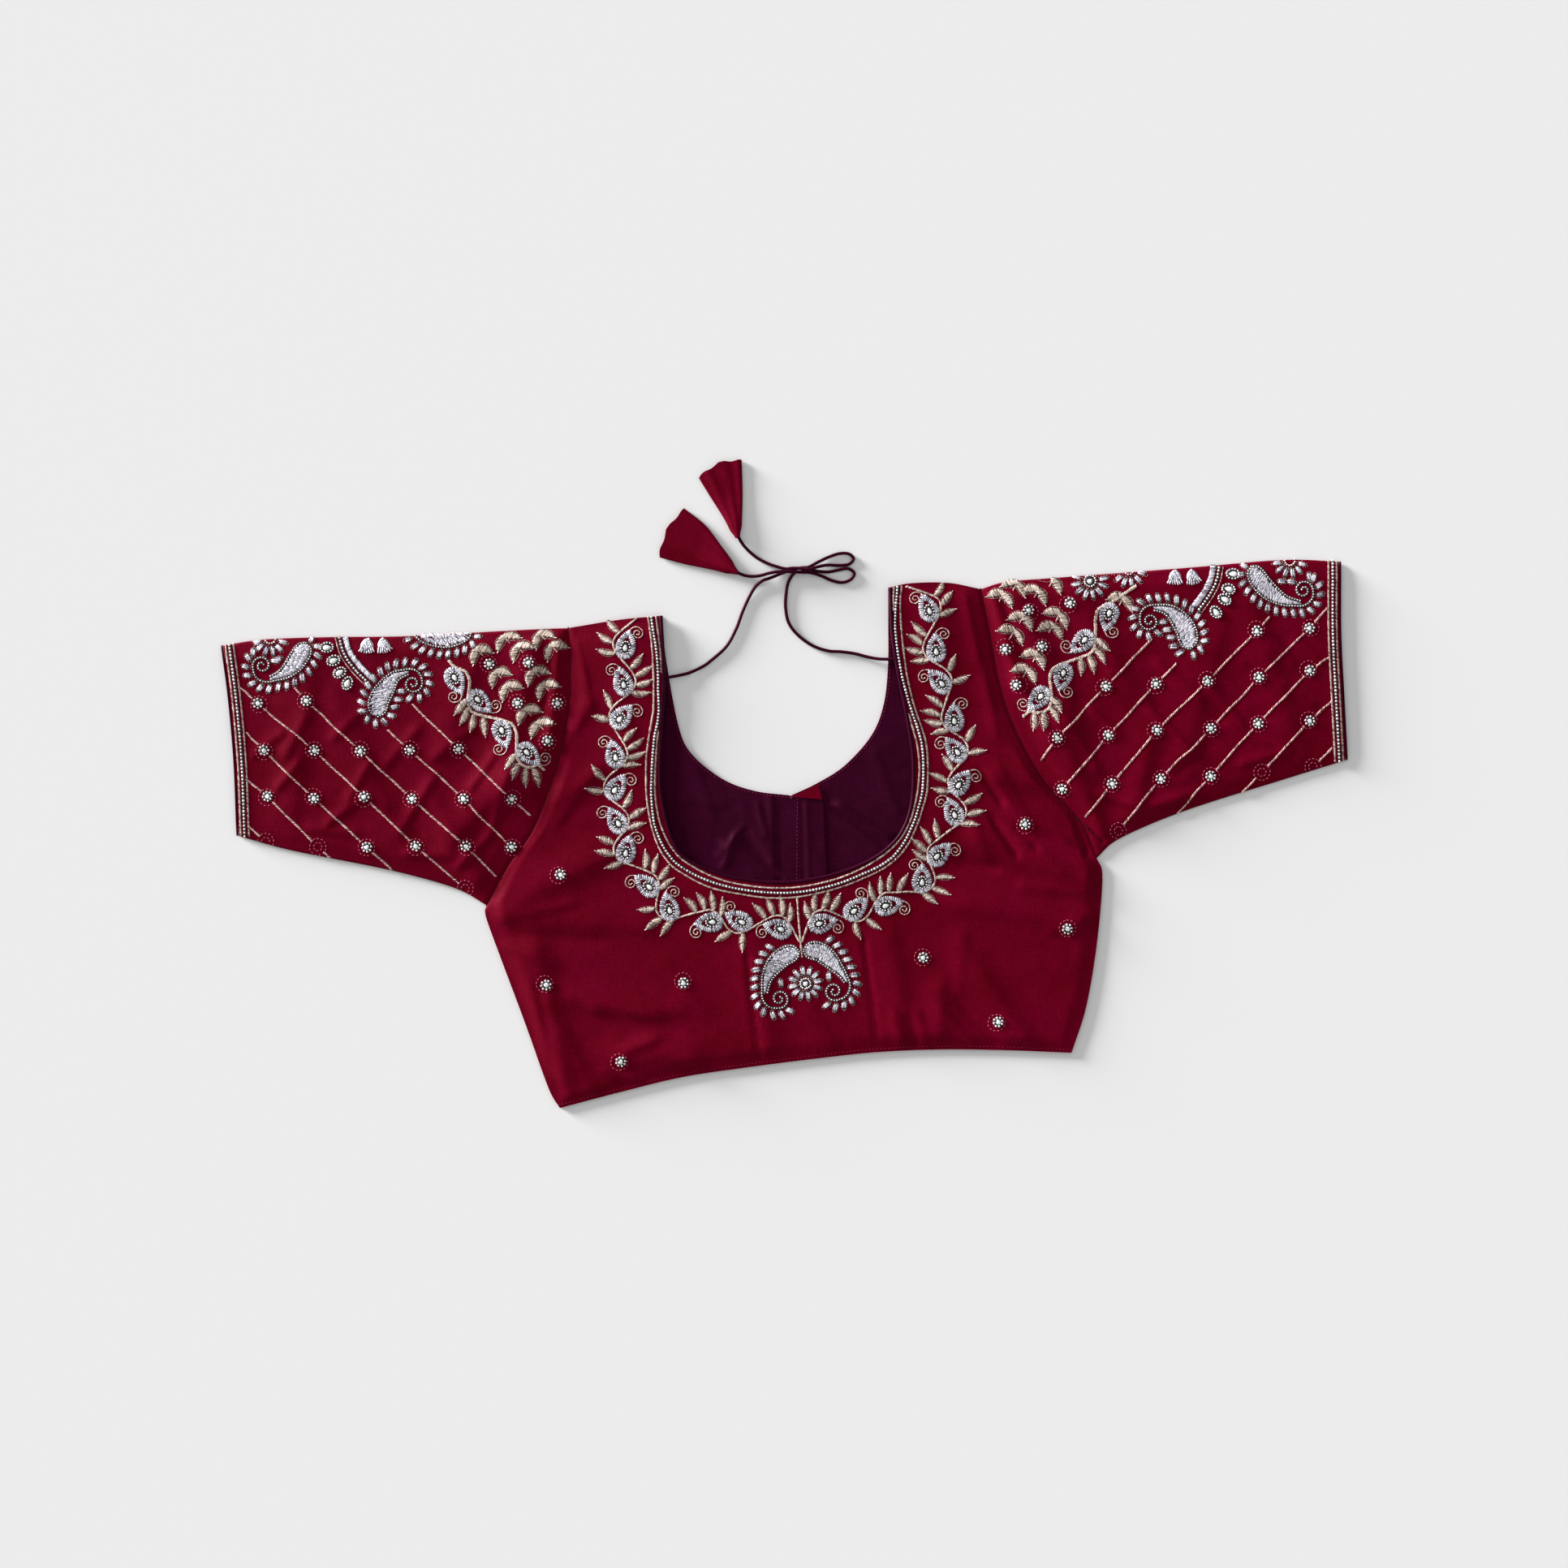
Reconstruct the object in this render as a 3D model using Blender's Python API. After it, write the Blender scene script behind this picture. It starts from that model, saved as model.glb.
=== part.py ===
# A choli blouse laid flat with its back uppermost: two front panels below, the back with its
# deep round neck on them, open tube sleeves at the sides, and two tie cords knotted in a bow.
# Lengths are in millimetres and become metres where a mesh is made. +Y runs from hem to neck.

import bpy
import math
from mathutils import Vector

MM = 0.001

# Cloth and its layers, from the table upwards
FRONT_WALL = 1.0
LINING_WALL = 1.0
BACK_WALL = 1.2
SLEEVE_WALL = 1.1
LAYER_GAP = 0.3
SEAM_SHIFT = 0.45          # a panel stops this far short of an armhole, measured along X
SEAM_TOP = 2.6             # top of the back where it lies on the front at a seam
ARMHOLE_RISE = 0.8         # how much higher the armhole seam stands at its middle
ARMHOLE_RISE_FADE = 40.0
BACK_PUFF = 1.5            # how much the back stands up inside its seams
NECK_LIFT = 1.8            # and again along the neck, over the lining
NECK_LIFT_NEAR = 16.0
NECK_LIFT_FAR = 44.0
EDGE_ROLL = 9.0            # width over which an edge rolls down to its seam
FOLD_ROUND = 1.4           # a flattened tube reaches its full height this far in from its fold

# Trims
PIPING_DIAMETER = 2.0
CUFF_PIPING_DIAMETER = 1.4
BORDER_START = 2.6         # the beaded border lies this far in from the neck edge
BORDER_END = 11.0
CUFF_BORDER_START = 1.2
CUFF_BORDER_END = 8.4
BORDER_THICK = 0.7
LINING_UNDERLAP = 14.0     # how far the lining runs on under the back
DORI_DIAMETER = 2.4

# Grid steps
NECK_STEPS = {"armhole": 12, "side": 6, "hem": 16}
BACK_ROWS = 9
FRONT_ROWS = 5
LINING_ROWS = 3
SLEEVE_RINGS = 12

# Edge tables, each a run of points x, y on a smooth curve
NECK_BACK = [(-88.2, 170.3), (-91.0, 123), (-98.5, 76), (-101.8, 38), (-95.5, 0), (-80, -16.5),
             (-50, -29.8), (-10, -36.3), (32, -31.4), (64, -17.2), (81, 6), (87.6, 42), (86.6, 76),
             (83.5, 110), (82.3, 140), (84.1, 173.3)]
NECK_FRONT_LEFT = [(-87.0, 170.3), (-86.8, 135), (-83.0, 88), (-75.5, 66.5), (-55, 45.8),
                   (-32, 34.4), (-6.0, 28.3)]
NECK_FRONT_RIGHT = [(81.8, 173.3), (79.4, 150), (75.7, 116.3), (69.5, 88), (58, 66), (36, 46),
                    (14, 35), (-5.4, 28.3)]
SHOULDER_LEFT = [(-88.2, 170.3), (-120, 170.5), (-156.4, 168.4)]
SHOULDER_RIGHT = [(84.1, 173.3), (97.5, 174.9), (126, 172.4), (149.6, 165.2)]
ARMHOLE_LEFT = [(-156.4, 168.4), (-158.3, 140), (-162, 113), (-175, 70), (-197, 24.5),
                (-219, -1.5), (-237.8, -29)]
ARMHOLE_RIGHT = [(149.6, 165.2), (152.2, 140), (155.6, 98), (161.2, 68.7), (172, 38.6),
                 (184, 15), (205, -13), (214.2, -41.2)]
SIDE_LEFT = [(-237.8, -29.6), (-239.2, -37), (-231.5, -68.6), (-218.7, -118), (-206.4, -168),
             (-199.6, -183.6)]
SIDE_RIGHT = [(214.2, -41.8), (216.9, -55.4), (208, -102.7), (195, -149.6), (180.6, -182.5)]
HEM = [(-199.6, -183.6), (-157, -177), (-108, -170.4), (-59, -168.2), (-11, -167.1), (37.5, -167),
       (85, -170), (133, -175.6), (180.6, -182.5)]
CENTRE_FRONT = [(-5.7, 28.3), (-9.8, -36), (-14.5, -167.2)]
PLACKET = {"top": [(-13.8, 25.8), (17.5, 22.5)], "bottom": [(-21.0, -50.0), (13.0, -50.0)]}

SLEEVE_LEFT = {
    "fold": [(-411.3, 182.4), (-380.6, 183.6), (-331.5, 180.2), (-278.3, 175.2), (-220.7, 172.2),
             (-176.3, 169.9), (-156.4, 168.4)],
    "underarm": [(-414.6, 41.0), (-376.6, 26.3), (-306.5, 4.4), (-260.2, -13.7), (-237.8, -29)],
    "cuff": [(-411.3, 182.4), (-410.2, 143.3), (-411.0, 95.1), (-414.6, 41.0)],
    "armhole": ARMHOLE_LEFT,
}
SLEEVE_RIGHT = {
    "fold": [(415.0, 157.8), (373.8, 163.4), (301.6, 165.0), (205.4, 167.8), (169.2, 168.6),
             (149.6, 165.2)],
    "underarm": [(404.5, 11.2), (356.8, 1.7), (282.8, -13.5), (233.0, -28.7), (214.2, -41.2)],
    "cuff": [(415.0, 157.8), (409.5, 105.3), (406.8, 57.3), (404.5, 11.2)],
    "armhole": ARMHOLE_RIGHT,
}

# Soft folds: each is a ridge from one point to another with a half width and a height
FOLD_COLUMNS = ("x0", "y0", "x1", "y1", "width", "height")
BACK_FOLDS = [
    (-205, -70, -196, -150, 13, 2.4),
    (-180, -104, -112, -120, 10, 1.6),
    (-150, -150, -104, -156, 12, 2.4),
    (-220, -30, -150, -2, 13, 2.2),
    (-205, -42, -128, -56, 11, 1.4),
    (-45, -92, -40, -165, 12, 1.5),
    (56, -88, 60, -165, 12, 1.5),
    (88, -128, 84, -170, 9, 1.8),
    (120, -120, 148, -172, 11, 2.0),
    (196, -52, 130, -20, 12, 2.2),
    (188, -84, 116, -66, 11, 1.6),
    (168, 20, 128, 34, 11, 1.8),
    (-172, 48, -132, 66, 11, 1.6),
    (-126, 150, -124, 90, 12, 1.2),
    (118, 150, 120, 92, 12, 1.2),
]
SLEEVE_FOLDS_LEFT = [
    (-186, 150, -214, 62, 11, 2.2),
    (-226, 156, -254, 96, 12, 1.6),
    (-250, 30, -196, 76, 12, 2.4),
    (-300, 36, -330, 120, 13, 1.5),
    (-372, 60, -352, 150, 12, 1.5),
    (-244, -4, -268, 48, 10, 1.6),
]
SLEEVE_FOLDS_RIGHT = [
    (176, 148, 206, 66, 11, 2.2),
    (222, 148, 246, 90, 12, 1.6),
    (214, -16, 196, 58, 12, 2.4),
    (286, 24, 316, 106, 13, 1.5),
    (366, 40, 346, 132, 12, 1.5),
    (244, -12, 262, 40, 10, 1.6),
]

# Tie cords: rows of x, y, z for the middle of the cord, from the neck edge to the tassel.
# Both enter a twisted stem of four strands, turn back in a loop and leave it as a tail.
STEM = {"x0": -10.0, "x1": 25.0, "y0": 190.2, "y1": 192.6, "bow": 1.6, "z": 3.35, "radius": 2.05,
        "turn_per_mm": 5.0}
DORI_LEFT_IN = [(-88.3, 124.3, 5.0), (-79, 125.0, 3.9), (-70.9, 126.2, 2.2), (-62, 129.2, 1.35),
                (-54.5, 133.2, 1.3), (-41.7, 142.6, 1.3), (-33.2, 154.6, 1.3),
                (-27.0, 167.0, 1.3), (-21.5, 176.5, 1.4), (-15.8, 184.2, 2.3)]
LOOP_UPPER = [(31.8, 197.4, 2.6), (39.5, 200.2, 1.4), (48.0, 202.2, 1.3), (55.2, 201.4, 1.3),
              (58.6, 197.4, 1.3), (54.6, 193.7, 1.3), (47.0, 193.6, 1.4), (39.0, 194.7, 2.0),
              (31.5, 194.0, 4.0)]
TAIL_UPPER = [(2.6, 197.0, 3.2), (-5.0, 200.6, 2.0), (-12.6, 205.8, 1.5), (-19.4, 213.2, 1.9),
              (-23.6, 220.4, 2.7), (-26.0, 228.5, 2.9)]
DORI_RIGHT_IN = [(80.2, 120.4, 5.0), (70, 121.6, 3.9), (61, 124.2, 2.2), (52, 127.6, 1.35),
                 (42, 130.0, 1.3), (33.0, 131.6, 1.3), (21.9, 136.6, 1.3), (12.0, 145.4, 1.3),
                 (6.0, 155.4, 1.3), (4.9, 167.0, 1.3), (6.4, 177.0, 1.3), (9.0, 185.4, 1.8)]
LOOP_LOWER = [(31.5, 190.9, 1.3), (39.0, 189.6, 1.3), (46.5, 190.2, 1.3), (53.6, 190.6, 1.3),
              (58.0, 186.8, 1.3), (55.0, 182.4, 1.3), (48.5, 180.8, 1.3), (41.5, 182.8, 1.4),
              (35.0, 186.4, 1.9), (30.2, 188.8, 2.7)]
TAIL_LOWER = [(-15.4, 192.0, 2.7), (-21.8, 193.1, 2.8), (-27.8, 196.1, 2.9), (-34.2, 201.0, 2.9)]
STRAND_ANGLE = {"left_in": 180.0, "left_out": 0.0, "right_in": 180.0, "right_out": 0.0}
RIGHT_ENTRY_X = 8.0        # where the right cord and the upper tail join the stem
CORD_STEP = 4.6

# Tassels: flat open cones of cloth, rows of x, y for both edges from the cord to the open end
TASSEL_WALL = 1.0
TASSEL_NECK_HEIGHT = 5.8
TASSEL_END_HEIGHT = 3.4
TASSEL_SIDES = 14
TASSEL_ROWS = 6
TASSEL_UPPER = {
    "left": [(-27.7, 221.0), (-33.5, 236.6), (-42.0, 254.0), (-48.8, 268.2)],
    "right": [(-22.0, 222.4), (-19.6, 239.0), (-17.5, 256.0), (-15.8, 277.8)],
}
TASSEL_LOWER = {
    "left": [(-28.8, 193.4), (-46.0, 200.0), (-66.0, 206.4), (-83.4, 213.0)],
    "right": [(-26.8, 198.9), (-36.8, 216.0), (-47.0, 232.8), (-61.2, 247.0)],
}
TASSEL_END_BOW = 5.0

# sRGB colours
CLOTH_COLOUR = (96, 2, 24)
LINING_COLOUR = (47, 6, 23)
PIPING_COLOUR = (58, 6, 28)
BORDER_COLOUR = (176, 160, 128)
CORD_COLOUR = (66, 8, 30)


def linear(colour):
    """Turns an sRGB colour of 0 to 255 into the linear values that a shader takes."""
    def one(value):
        value /= 255
        return value / 12.92 if value <= 0.04045 else ((value + 0.055) / 1.055) ** 2.4
    return [one(value) for value in colour] + [1.0]


def material(name, colour, roughness, metallic=0.0):
    made = bpy.data.materials.new(name)
    made.use_nodes = True
    shader = made.node_tree.nodes["Principled BSDF"]
    shader.inputs["Base Color"].default_value = linear(colour)
    shader.inputs["Roughness"].default_value = roughness
    shader.inputs["Metallic"].default_value = metallic
    made.diffuse_color = linear(colour)
    return made


def add_mesh(name, points, faces, look):
    """Makes one named object of points in millimetres and puts it with the others."""
    mesh = bpy.data.meshes.new(name)
    mesh.from_pydata([Vector(point) * MM for point in points], [], faces)
    mesh.validate()
    mesh.shade_smooth()
    mesh.set_sharp_from_angle(angle=math.radians(40))
    mesh.materials.append(look)
    made = bpy.data.objects.new(name, mesh)
    blouse.objects.link(made)
    return made


def smooth_curve(points, count):
    """Reads count + 1 evenly spaced points from a smooth curve through the given points."""
    points = [Vector(point) for point in points]
    ends = [points[0] * 2 - points[1]] + points + [points[-1] * 2 - points[-2]]
    fine = []
    for a, b, c, d in zip(ends, ends[1:], ends[2:], ends[3:]):
        for step in range(24):
            t = step / 24
            fine.append(b + (c - a) * (t / 2) + (a * 2 - b * 5 + c * 4 - d) * (t * t / 2)
                        + (b * 3 - c * 3 + d - a) * (t ** 3 / 2))
    fine.append(points[-1])
    return even_points(fine, count)


def even_points(line, count):
    """Places count + 1 points at equal distances along a line of points."""
    reach = [0.0]
    for a, b in zip(line, line[1:]):
        reach.append(reach[-1] + (b - a).length)
    out = []
    at = 0
    for step in range(count + 1):
        want = reach[-1] * step / count
        while at < len(line) - 2 and reach[at + 1] < want:
            at += 1
        span = reach[at + 1] - reach[at]
        out.append(line[at].lerp(line[at + 1], (want - reach[at]) / span if span else 0.0))
    return out


def curve_length(line):
    return sum((b - a).length for a, b in zip(line, line[1:]))


def shifted(line, distance):
    """Moves a line of points sideways, to the left of its direction, by a distance."""
    out = []
    for at, point in enumerate(line):
        before = line[max(at - 1, 0)]
        after = line[min(at + 1, len(line) - 1)]
        along = (after - before).normalized()
        out.append(point + Vector((-along.y, along.x)) * distance)
    return out


def patch(inner, outer, start, end, fractions):
    """Fills four edges with a grid: one list of points for each step along inner and outer."""
    columns = []
    last = len(inner) - 1
    for at, (low, high) in enumerate(zip(inner, outer)):
        u = at / last
        column = []
        for v in fractions(at):
            ruled = low.lerp(high, v)
            side_a = along(start, v) - start[0].lerp(start[-1], v)
            side_b = along(end, v) - end[0].lerp(end[-1], v)
            column.append(ruled + side_a * (1 - u) + side_b * u)
        columns.append(column)
    return columns


def along(line, fraction):
    """The point at a fraction of a line's own length."""
    want = curve_length(line) * min(max(fraction, 0.0), 1.0)
    for a, b in zip(line, line[1:]):
        span = (b - a).length
        if want <= span and span > 0:
            return a.lerp(b, want / span)
        want -= span
    return line[-1].copy()


def even_fractions(rows):
    return [row / rows for row in range(rows + 1)]


def slab(name, tops, drop, look):
    """Makes a closed sheet of cloth from a grid of top points, thickened straight down."""
    across = len(tops[0])
    points = [point for column in tops for point in column]
    count = len(points)
    points += [point - Vector((0, 0, drop)) for point in points]
    faces = []
    for i in range(len(tops) - 1):
        for j in range(across - 1):
            a, b = i * across + j, (i + 1) * across + j
            faces.append((a, b, b + 1, a + 1))
            faces.append((a + count, a + 1 + count, b + 1 + count, b + count))
    rim = [j for j in range(across)]
    rim += [i * across + across - 1 for i in range(1, len(tops))]
    rim += [(len(tops) - 1) * across + j for j in range(across - 2, -1, -1)]
    rim += [i * across for i in range(len(tops) - 2, 0, -1)]
    for a, b in zip(rim, rim[1:] + rim[:1]):
        faces.append((a, b, b + count, a + count))
    return add_mesh(name, points, outward(points, faces), look)


def outward(points, faces):
    """Turns all the faces round if they enclose a negative volume."""
    volume = 0.0
    for face in faces:
        for second, third in zip(face[1:], face[2:]):
            volume += points[face[0]].dot(points[second].cross(points[third]))
    return faces if volume > 0 else [tuple(reversed(face)) for face in faces]


def tube_wall(name, outer, inner, look):
    """Makes an open tube of cloth from rings of outer points and rings of inner points."""
    size = len(outer[0])
    points = [point for ring in outer + inner for point in ring]
    shift = len(outer) * size
    faces = []
    for i in range(len(outer) - 1):
        for j in range(size):
            a, b = i * size + j, i * size + (j + 1) % size
            faces.append((a, b, b + size, a + size))
            faces.append((a + shift, a + size + shift, b + size + shift, b + shift))
    end = (len(outer) - 1) * size
    for j in range(size):
        k = (j + 1) % size
        faces.append((j, j + shift, k + shift, k))
        faces.append((end + j, end + k, end + k + shift, end + j + shift))
    return add_mesh(name, points, outward(points, faces), look)


def tube(name, line, diameter, look, closed=False, roundness=2):
    """Makes a round cord or piping along a line of points."""
    curve = bpy.data.curves.new(name, "CURVE")
    curve.dimensions = "3D"
    curve.bevel_depth = diameter / 2 * MM
    curve.bevel_resolution = roundness
    curve.use_fill_caps = not closed
    spline = curve.splines.new("POLY")
    spline.points.add(len(line) - 1)
    for point, place in zip(spline.points, line):
        point.co = (*(place * MM), 1.0)
    spline.use_cyclic_u = closed
    curve.materials.append(look)
    made = bpy.data.objects.new(name, curve)
    blouse.objects.link(made)
    return made


def ease(value):
    value = min(max(value, 0.0), 1.0)
    return value * value * (3 - 2 * value)


def fold_height(x, y, folds):
    """Adds up the soft ridges at a place."""
    total = 0.0
    place = Vector((x, y))
    for row in folds:
        fold = dict(zip(FOLD_COLUMNS, row))
        a, b = Vector((fold["x0"], fold["y0"])), Vector((fold["x1"], fold["y1"]))
        t = min(max((place - a).dot(b - a) / (b - a).length_squared, 0.0), 1.0)
        away = (place - a.lerp(b, t)).length
        total += fold["height"] * math.exp(-(away / fold["width"]) ** 2)
    return total


def armhole_top(fraction):
    """Top of the cloth along an armhole, from the shoulder to the underarm."""
    return SEAM_TOP + ARMHOLE_RISE * math.sin(math.pi * fraction)


def shoulder_y(x):
    return 170.3 if x < 0 else 172.5


def back_grid():
    """The top points of the back: columns run from the neck edge to the outer edge."""
    armhole, side, hem = NECK_STEPS["armhole"], NECK_STEPS["side"], NECK_STEPS["hem"]
    left = [point + Vector((SEAM_SHIFT, 0)) for point in smooth_curve(ARMHOLE_LEFT, armhole)]
    right = [point - Vector((SEAM_SHIFT, 0)) for point in smooth_curve(ARMHOLE_RIGHT, armhole)]
    outer = left + smooth_curve(SIDE_LEFT, side)[1:] + smooth_curve(HEM, hem)[1:]
    outer += list(reversed(smooth_curve(SIDE_RIGHT, side)))[1:] + list(reversed(right))[1:]
    neck = smooth_curve(NECK_BACK, len(outer) - 1)
    shares = [0.30] + [0.10] + [0.20] + [0.10] + [0.30]
    steps = [armhole, side, hem, side, armhole]
    places = [0.0]
    for share, count in zip(shares, steps):
        places += [places[-1] + share * (step + 1) / count for step in range(count)]
    neck = [along(neck, place) for place in places]
    start, end = smooth_curve(SHOULDER_LEFT, 12), smooth_curve(SHOULDER_RIGHT, 12)
    start[-1], end[-1] = outer[0], outer[-1]

    def fractions(at):
        length = (outer[at] - neck[at]).length
        near = [0.0, BORDER_START / length, BORDER_END / length]
        far = [1 - EDGE_ROLL / length, 1 - 0.3 * EDGE_ROLL / length, 1.0]
        inside = [near[-1] + (far[0] - near[-1]) * (row + 1) / BACK_ROWS
                  for row in range(BACK_ROWS - 1)]
        return near + inside + far

    grid = patch(neck, outer, start, end, fractions)
    return lift_back(grid, armhole), neck


def lift_back(grid, armhole_steps):
    """Gives the flat grid of the back its height above the table."""
    last = len(grid) - 1
    tops = []
    for at, column in enumerate(grid):
        from_end = min(at, last - at)
        if from_end <= armhole_steps:
            seam = armhole_top(from_end / armhole_steps)
        else:
            seam = SEAM_TOP
        tops.append([])
        for point in column:
            to_neck = (point - column[0]).length
            to_edge = (point - column[-1]).length
            to_shoulder = max(shoulder_y(point.x) - point.y, 0.0)
            rolled = ease(to_edge / EDGE_ROLL / 1.6) * ease(to_shoulder / EDGE_ROLL / 1.6)
            neck = 1 - ease((to_neck - NECK_LIFT_NEAR) / (NECK_LIFT_FAR - NECK_LIFT_NEAR))
            neck *= ease((to_edge + 14) / 30)
            folds = fold_height(point.x, point.y, BACK_FOLDS) * rolled
            folds *= ease((to_neck - BORDER_END) / 14)
            rise = (seam - SEAM_TOP) * (1 - ease(to_edge / ARMHOLE_RISE_FADE))
            height = SEAM_TOP + rise + BACK_PUFF * rolled + NECK_LIFT * neck + folds
            tops[-1].append(Vector((point.x, point.y, height)))
    return tops


def make_back():
    """The back with its neck piping and the beaded border round the neck."""
    tops, neck = back_grid()
    slab("back", tops, BACK_WALL, cloth)
    lift = Vector((0, 0, LAYER_GAP + BORDER_THICK))
    slab("neck_border", [[point + lift for point in column[1:3]] for column in tops],
         BORDER_THICK, border)
    inside = shifted(neck, PIPING_DIAMETER / 2 + LAYER_GAP)
    line = []
    for place, column in zip(inside, tops):
        line.append(Vector((place.x, place.y, column[0].z - BACK_WALL / 2)))
    tube("neck_piping", line, PIPING_DIAMETER, piping, roundness=1)


def flat(line, height):
    return [Vector((point.x, point.y, height)) for point in line]


def make_front(name, neck, centre, hem, side, armhole, shoulder, inward):
    """One front panel, flat on the table, from the centre front to the side seam."""
    neck_steps, centre_steps = 12, 8
    inner = smooth_curve(neck, neck_steps)
    inner += [along(centre, (step + 1) / centre_steps) for step in range(centre_steps)]
    arm_steps = NECK_STEPS["armhole"]
    outer = [point + Vector((inward * SEAM_SHIFT, 0)) for point in smooth_curve(armhole, arm_steps)]
    outer += smooth_curve(side, len(inner) - 1 - arm_steps)[1:]
    start, end = smooth_curve(shoulder, 10), hem
    start = [inner[0]] + start[1:-1] + [outer[0]]
    end = [inner[-1]] + end[1:-1] + [outer[-1]]
    grid = patch(inner, outer, start, end, lambda at: even_fractions(FRONT_ROWS))
    slab(name, [flat(column, FRONT_WALL) for column in grid], FRONT_WALL, cloth)


def make_fronts():
    half_gap = Vector((LAYER_GAP / 2, 0))
    centre = smooth_curve(CENTRE_FRONT, 12)
    hem = smooth_curve(HEM, 60)
    middle = min(range(len(hem)), key=lambda at: (hem[at] - centre[-1]).length)
    left_centre = [point - half_gap for point in centre]
    right_centre = [point + half_gap for point in centre]
    make_front("front_left", NECK_FRONT_LEFT, left_centre, list(reversed(hem[:middle + 1])),
               SIDE_LEFT, ARMHOLE_LEFT, [NECK_FRONT_LEFT[0]] + SHOULDER_LEFT[1:], 1)
    make_front("front_right", NECK_FRONT_RIGHT, right_centre, hem[middle:],
               SIDE_RIGHT, ARMHOLE_RIGHT, [NECK_FRONT_RIGHT[0]] + SHOULDER_RIGHT[1:], -1)


def make_linings():
    """The dark lining of the fronts where the neck shows it, and the hook strip on it."""
    steps = 14
    neck = smooth_curve(NECK_BACK, 80)
    under = shifted(neck, -LINING_UNDERLAP)
    low = min(range(len(under)), key=lambda at: (under[at] - Vector((-10.6, -50.3))).length)
    bottom = LAYER_GAP + FRONT_WALL
    for name, edge, rim, side in (("lining_left", NECK_FRONT_LEFT, under[:low + 1], -1),
                                  ("lining_right", NECK_FRONT_RIGHT, under[low:][::-1], 1)):
        inner = [point + Vector((side * 0.2, 0)) for point in smooth_curve(edge, steps)]
        inner[0].y -= 1.0
        outer = even_points(rim, steps)
        outer[0].y -= 1.0
        outer[-1] = Vector((-10.6 + side * 0.2, -50.3))
        straight = [[inner[0], outer[0]], [inner[-1], outer[-1]]]
        grid = patch(inner, outer, *straight, lambda at: even_fractions(LINING_ROWS))
        slab(name, [flat(column, bottom + LINING_WALL) for column in grid], LINING_WALL, lining)
    top = bottom + LINING_WALL + LAYER_GAP + LINING_WALL
    edges = [[Vector(point) for point in PLACKET[key]] for key in ("top", "bottom")]
    strip = []
    for step in range(7):
        left = edges[0][0].lerp(edges[1][0], step / 6)
        right = edges[0][1].lerp(edges[1][1], step / 6)
        strip.append(flat([left.lerp(right, v) for v in even_fractions(3)], top))
    slab("hook_placket", strip, LINING_WALL, lining)


def flat_ring(line, tops, wall):
    """Outer and inner points round a flattened tube, whose one side lies on the table."""
    def ring(inset, skin):
        spots = [along(line, inset / curve_length(line)),
                 along(line, (inset + FOLD_ROUND) / curve_length(line))]
        spots += line[1:-1]
        spots += [along(line, 1 - (inset + FOLD_ROUND) / curve_length(line)),
                  along(line, 1 - inset / curve_length(line))]
        heights = [tops[0], tops[0]] + tops[1:-1] + [tops[-1], tops[-1]]
        upper = [Vector((spot.x, spot.y, top - skin)) for spot, top in zip(spots, heights)]
        upper[0].z, upper[-1].z = tops[0] / 2, tops[-1] / 2
        lower = [Vector((spot.x, spot.y, skin)) for spot in spots[1:-1]]
        return upper + list(reversed(lower))

    return ring(0.0, 0.0), ring(wall * 1.25, wall)


def sleeve_grid(edges):
    """Places of a sleeve's points seen from above: rings from the cuff to the armhole."""
    count = NECK_STEPS["armhole"]
    fold = smooth_curve(edges["fold"], 60)
    underarm = smooth_curve(edges["underarm"], 60)
    cuff = smooth_curve(edges["cuff"], count)
    armhole = smooth_curve(edges["armhole"], count)
    length = curve_length(fold)
    places = [0.0, CUFF_BORDER_START / length, CUFF_BORDER_END / length]
    places += [places[-1] + (1 - places[-1]) * (ring + 1) / SLEEVE_RINGS
               for ring in range(SLEEVE_RINGS)]
    rings = []
    for u in places:
        a, b = along(fold, u), along(underarm, u)
        ring = []
        for step in range(count + 1):
            v = step / count
            ruled = a.lerp(b, v)
            from_cuff = cuff[step] - cuff[0].lerp(cuff[-1], v)
            from_armhole = armhole[step] - armhole[0].lerp(armhole[-1], v)
            ring.append(ruled + from_cuff * (1 - u) + from_armhole * u)
        rings.append(ring)
    return rings, places


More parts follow.
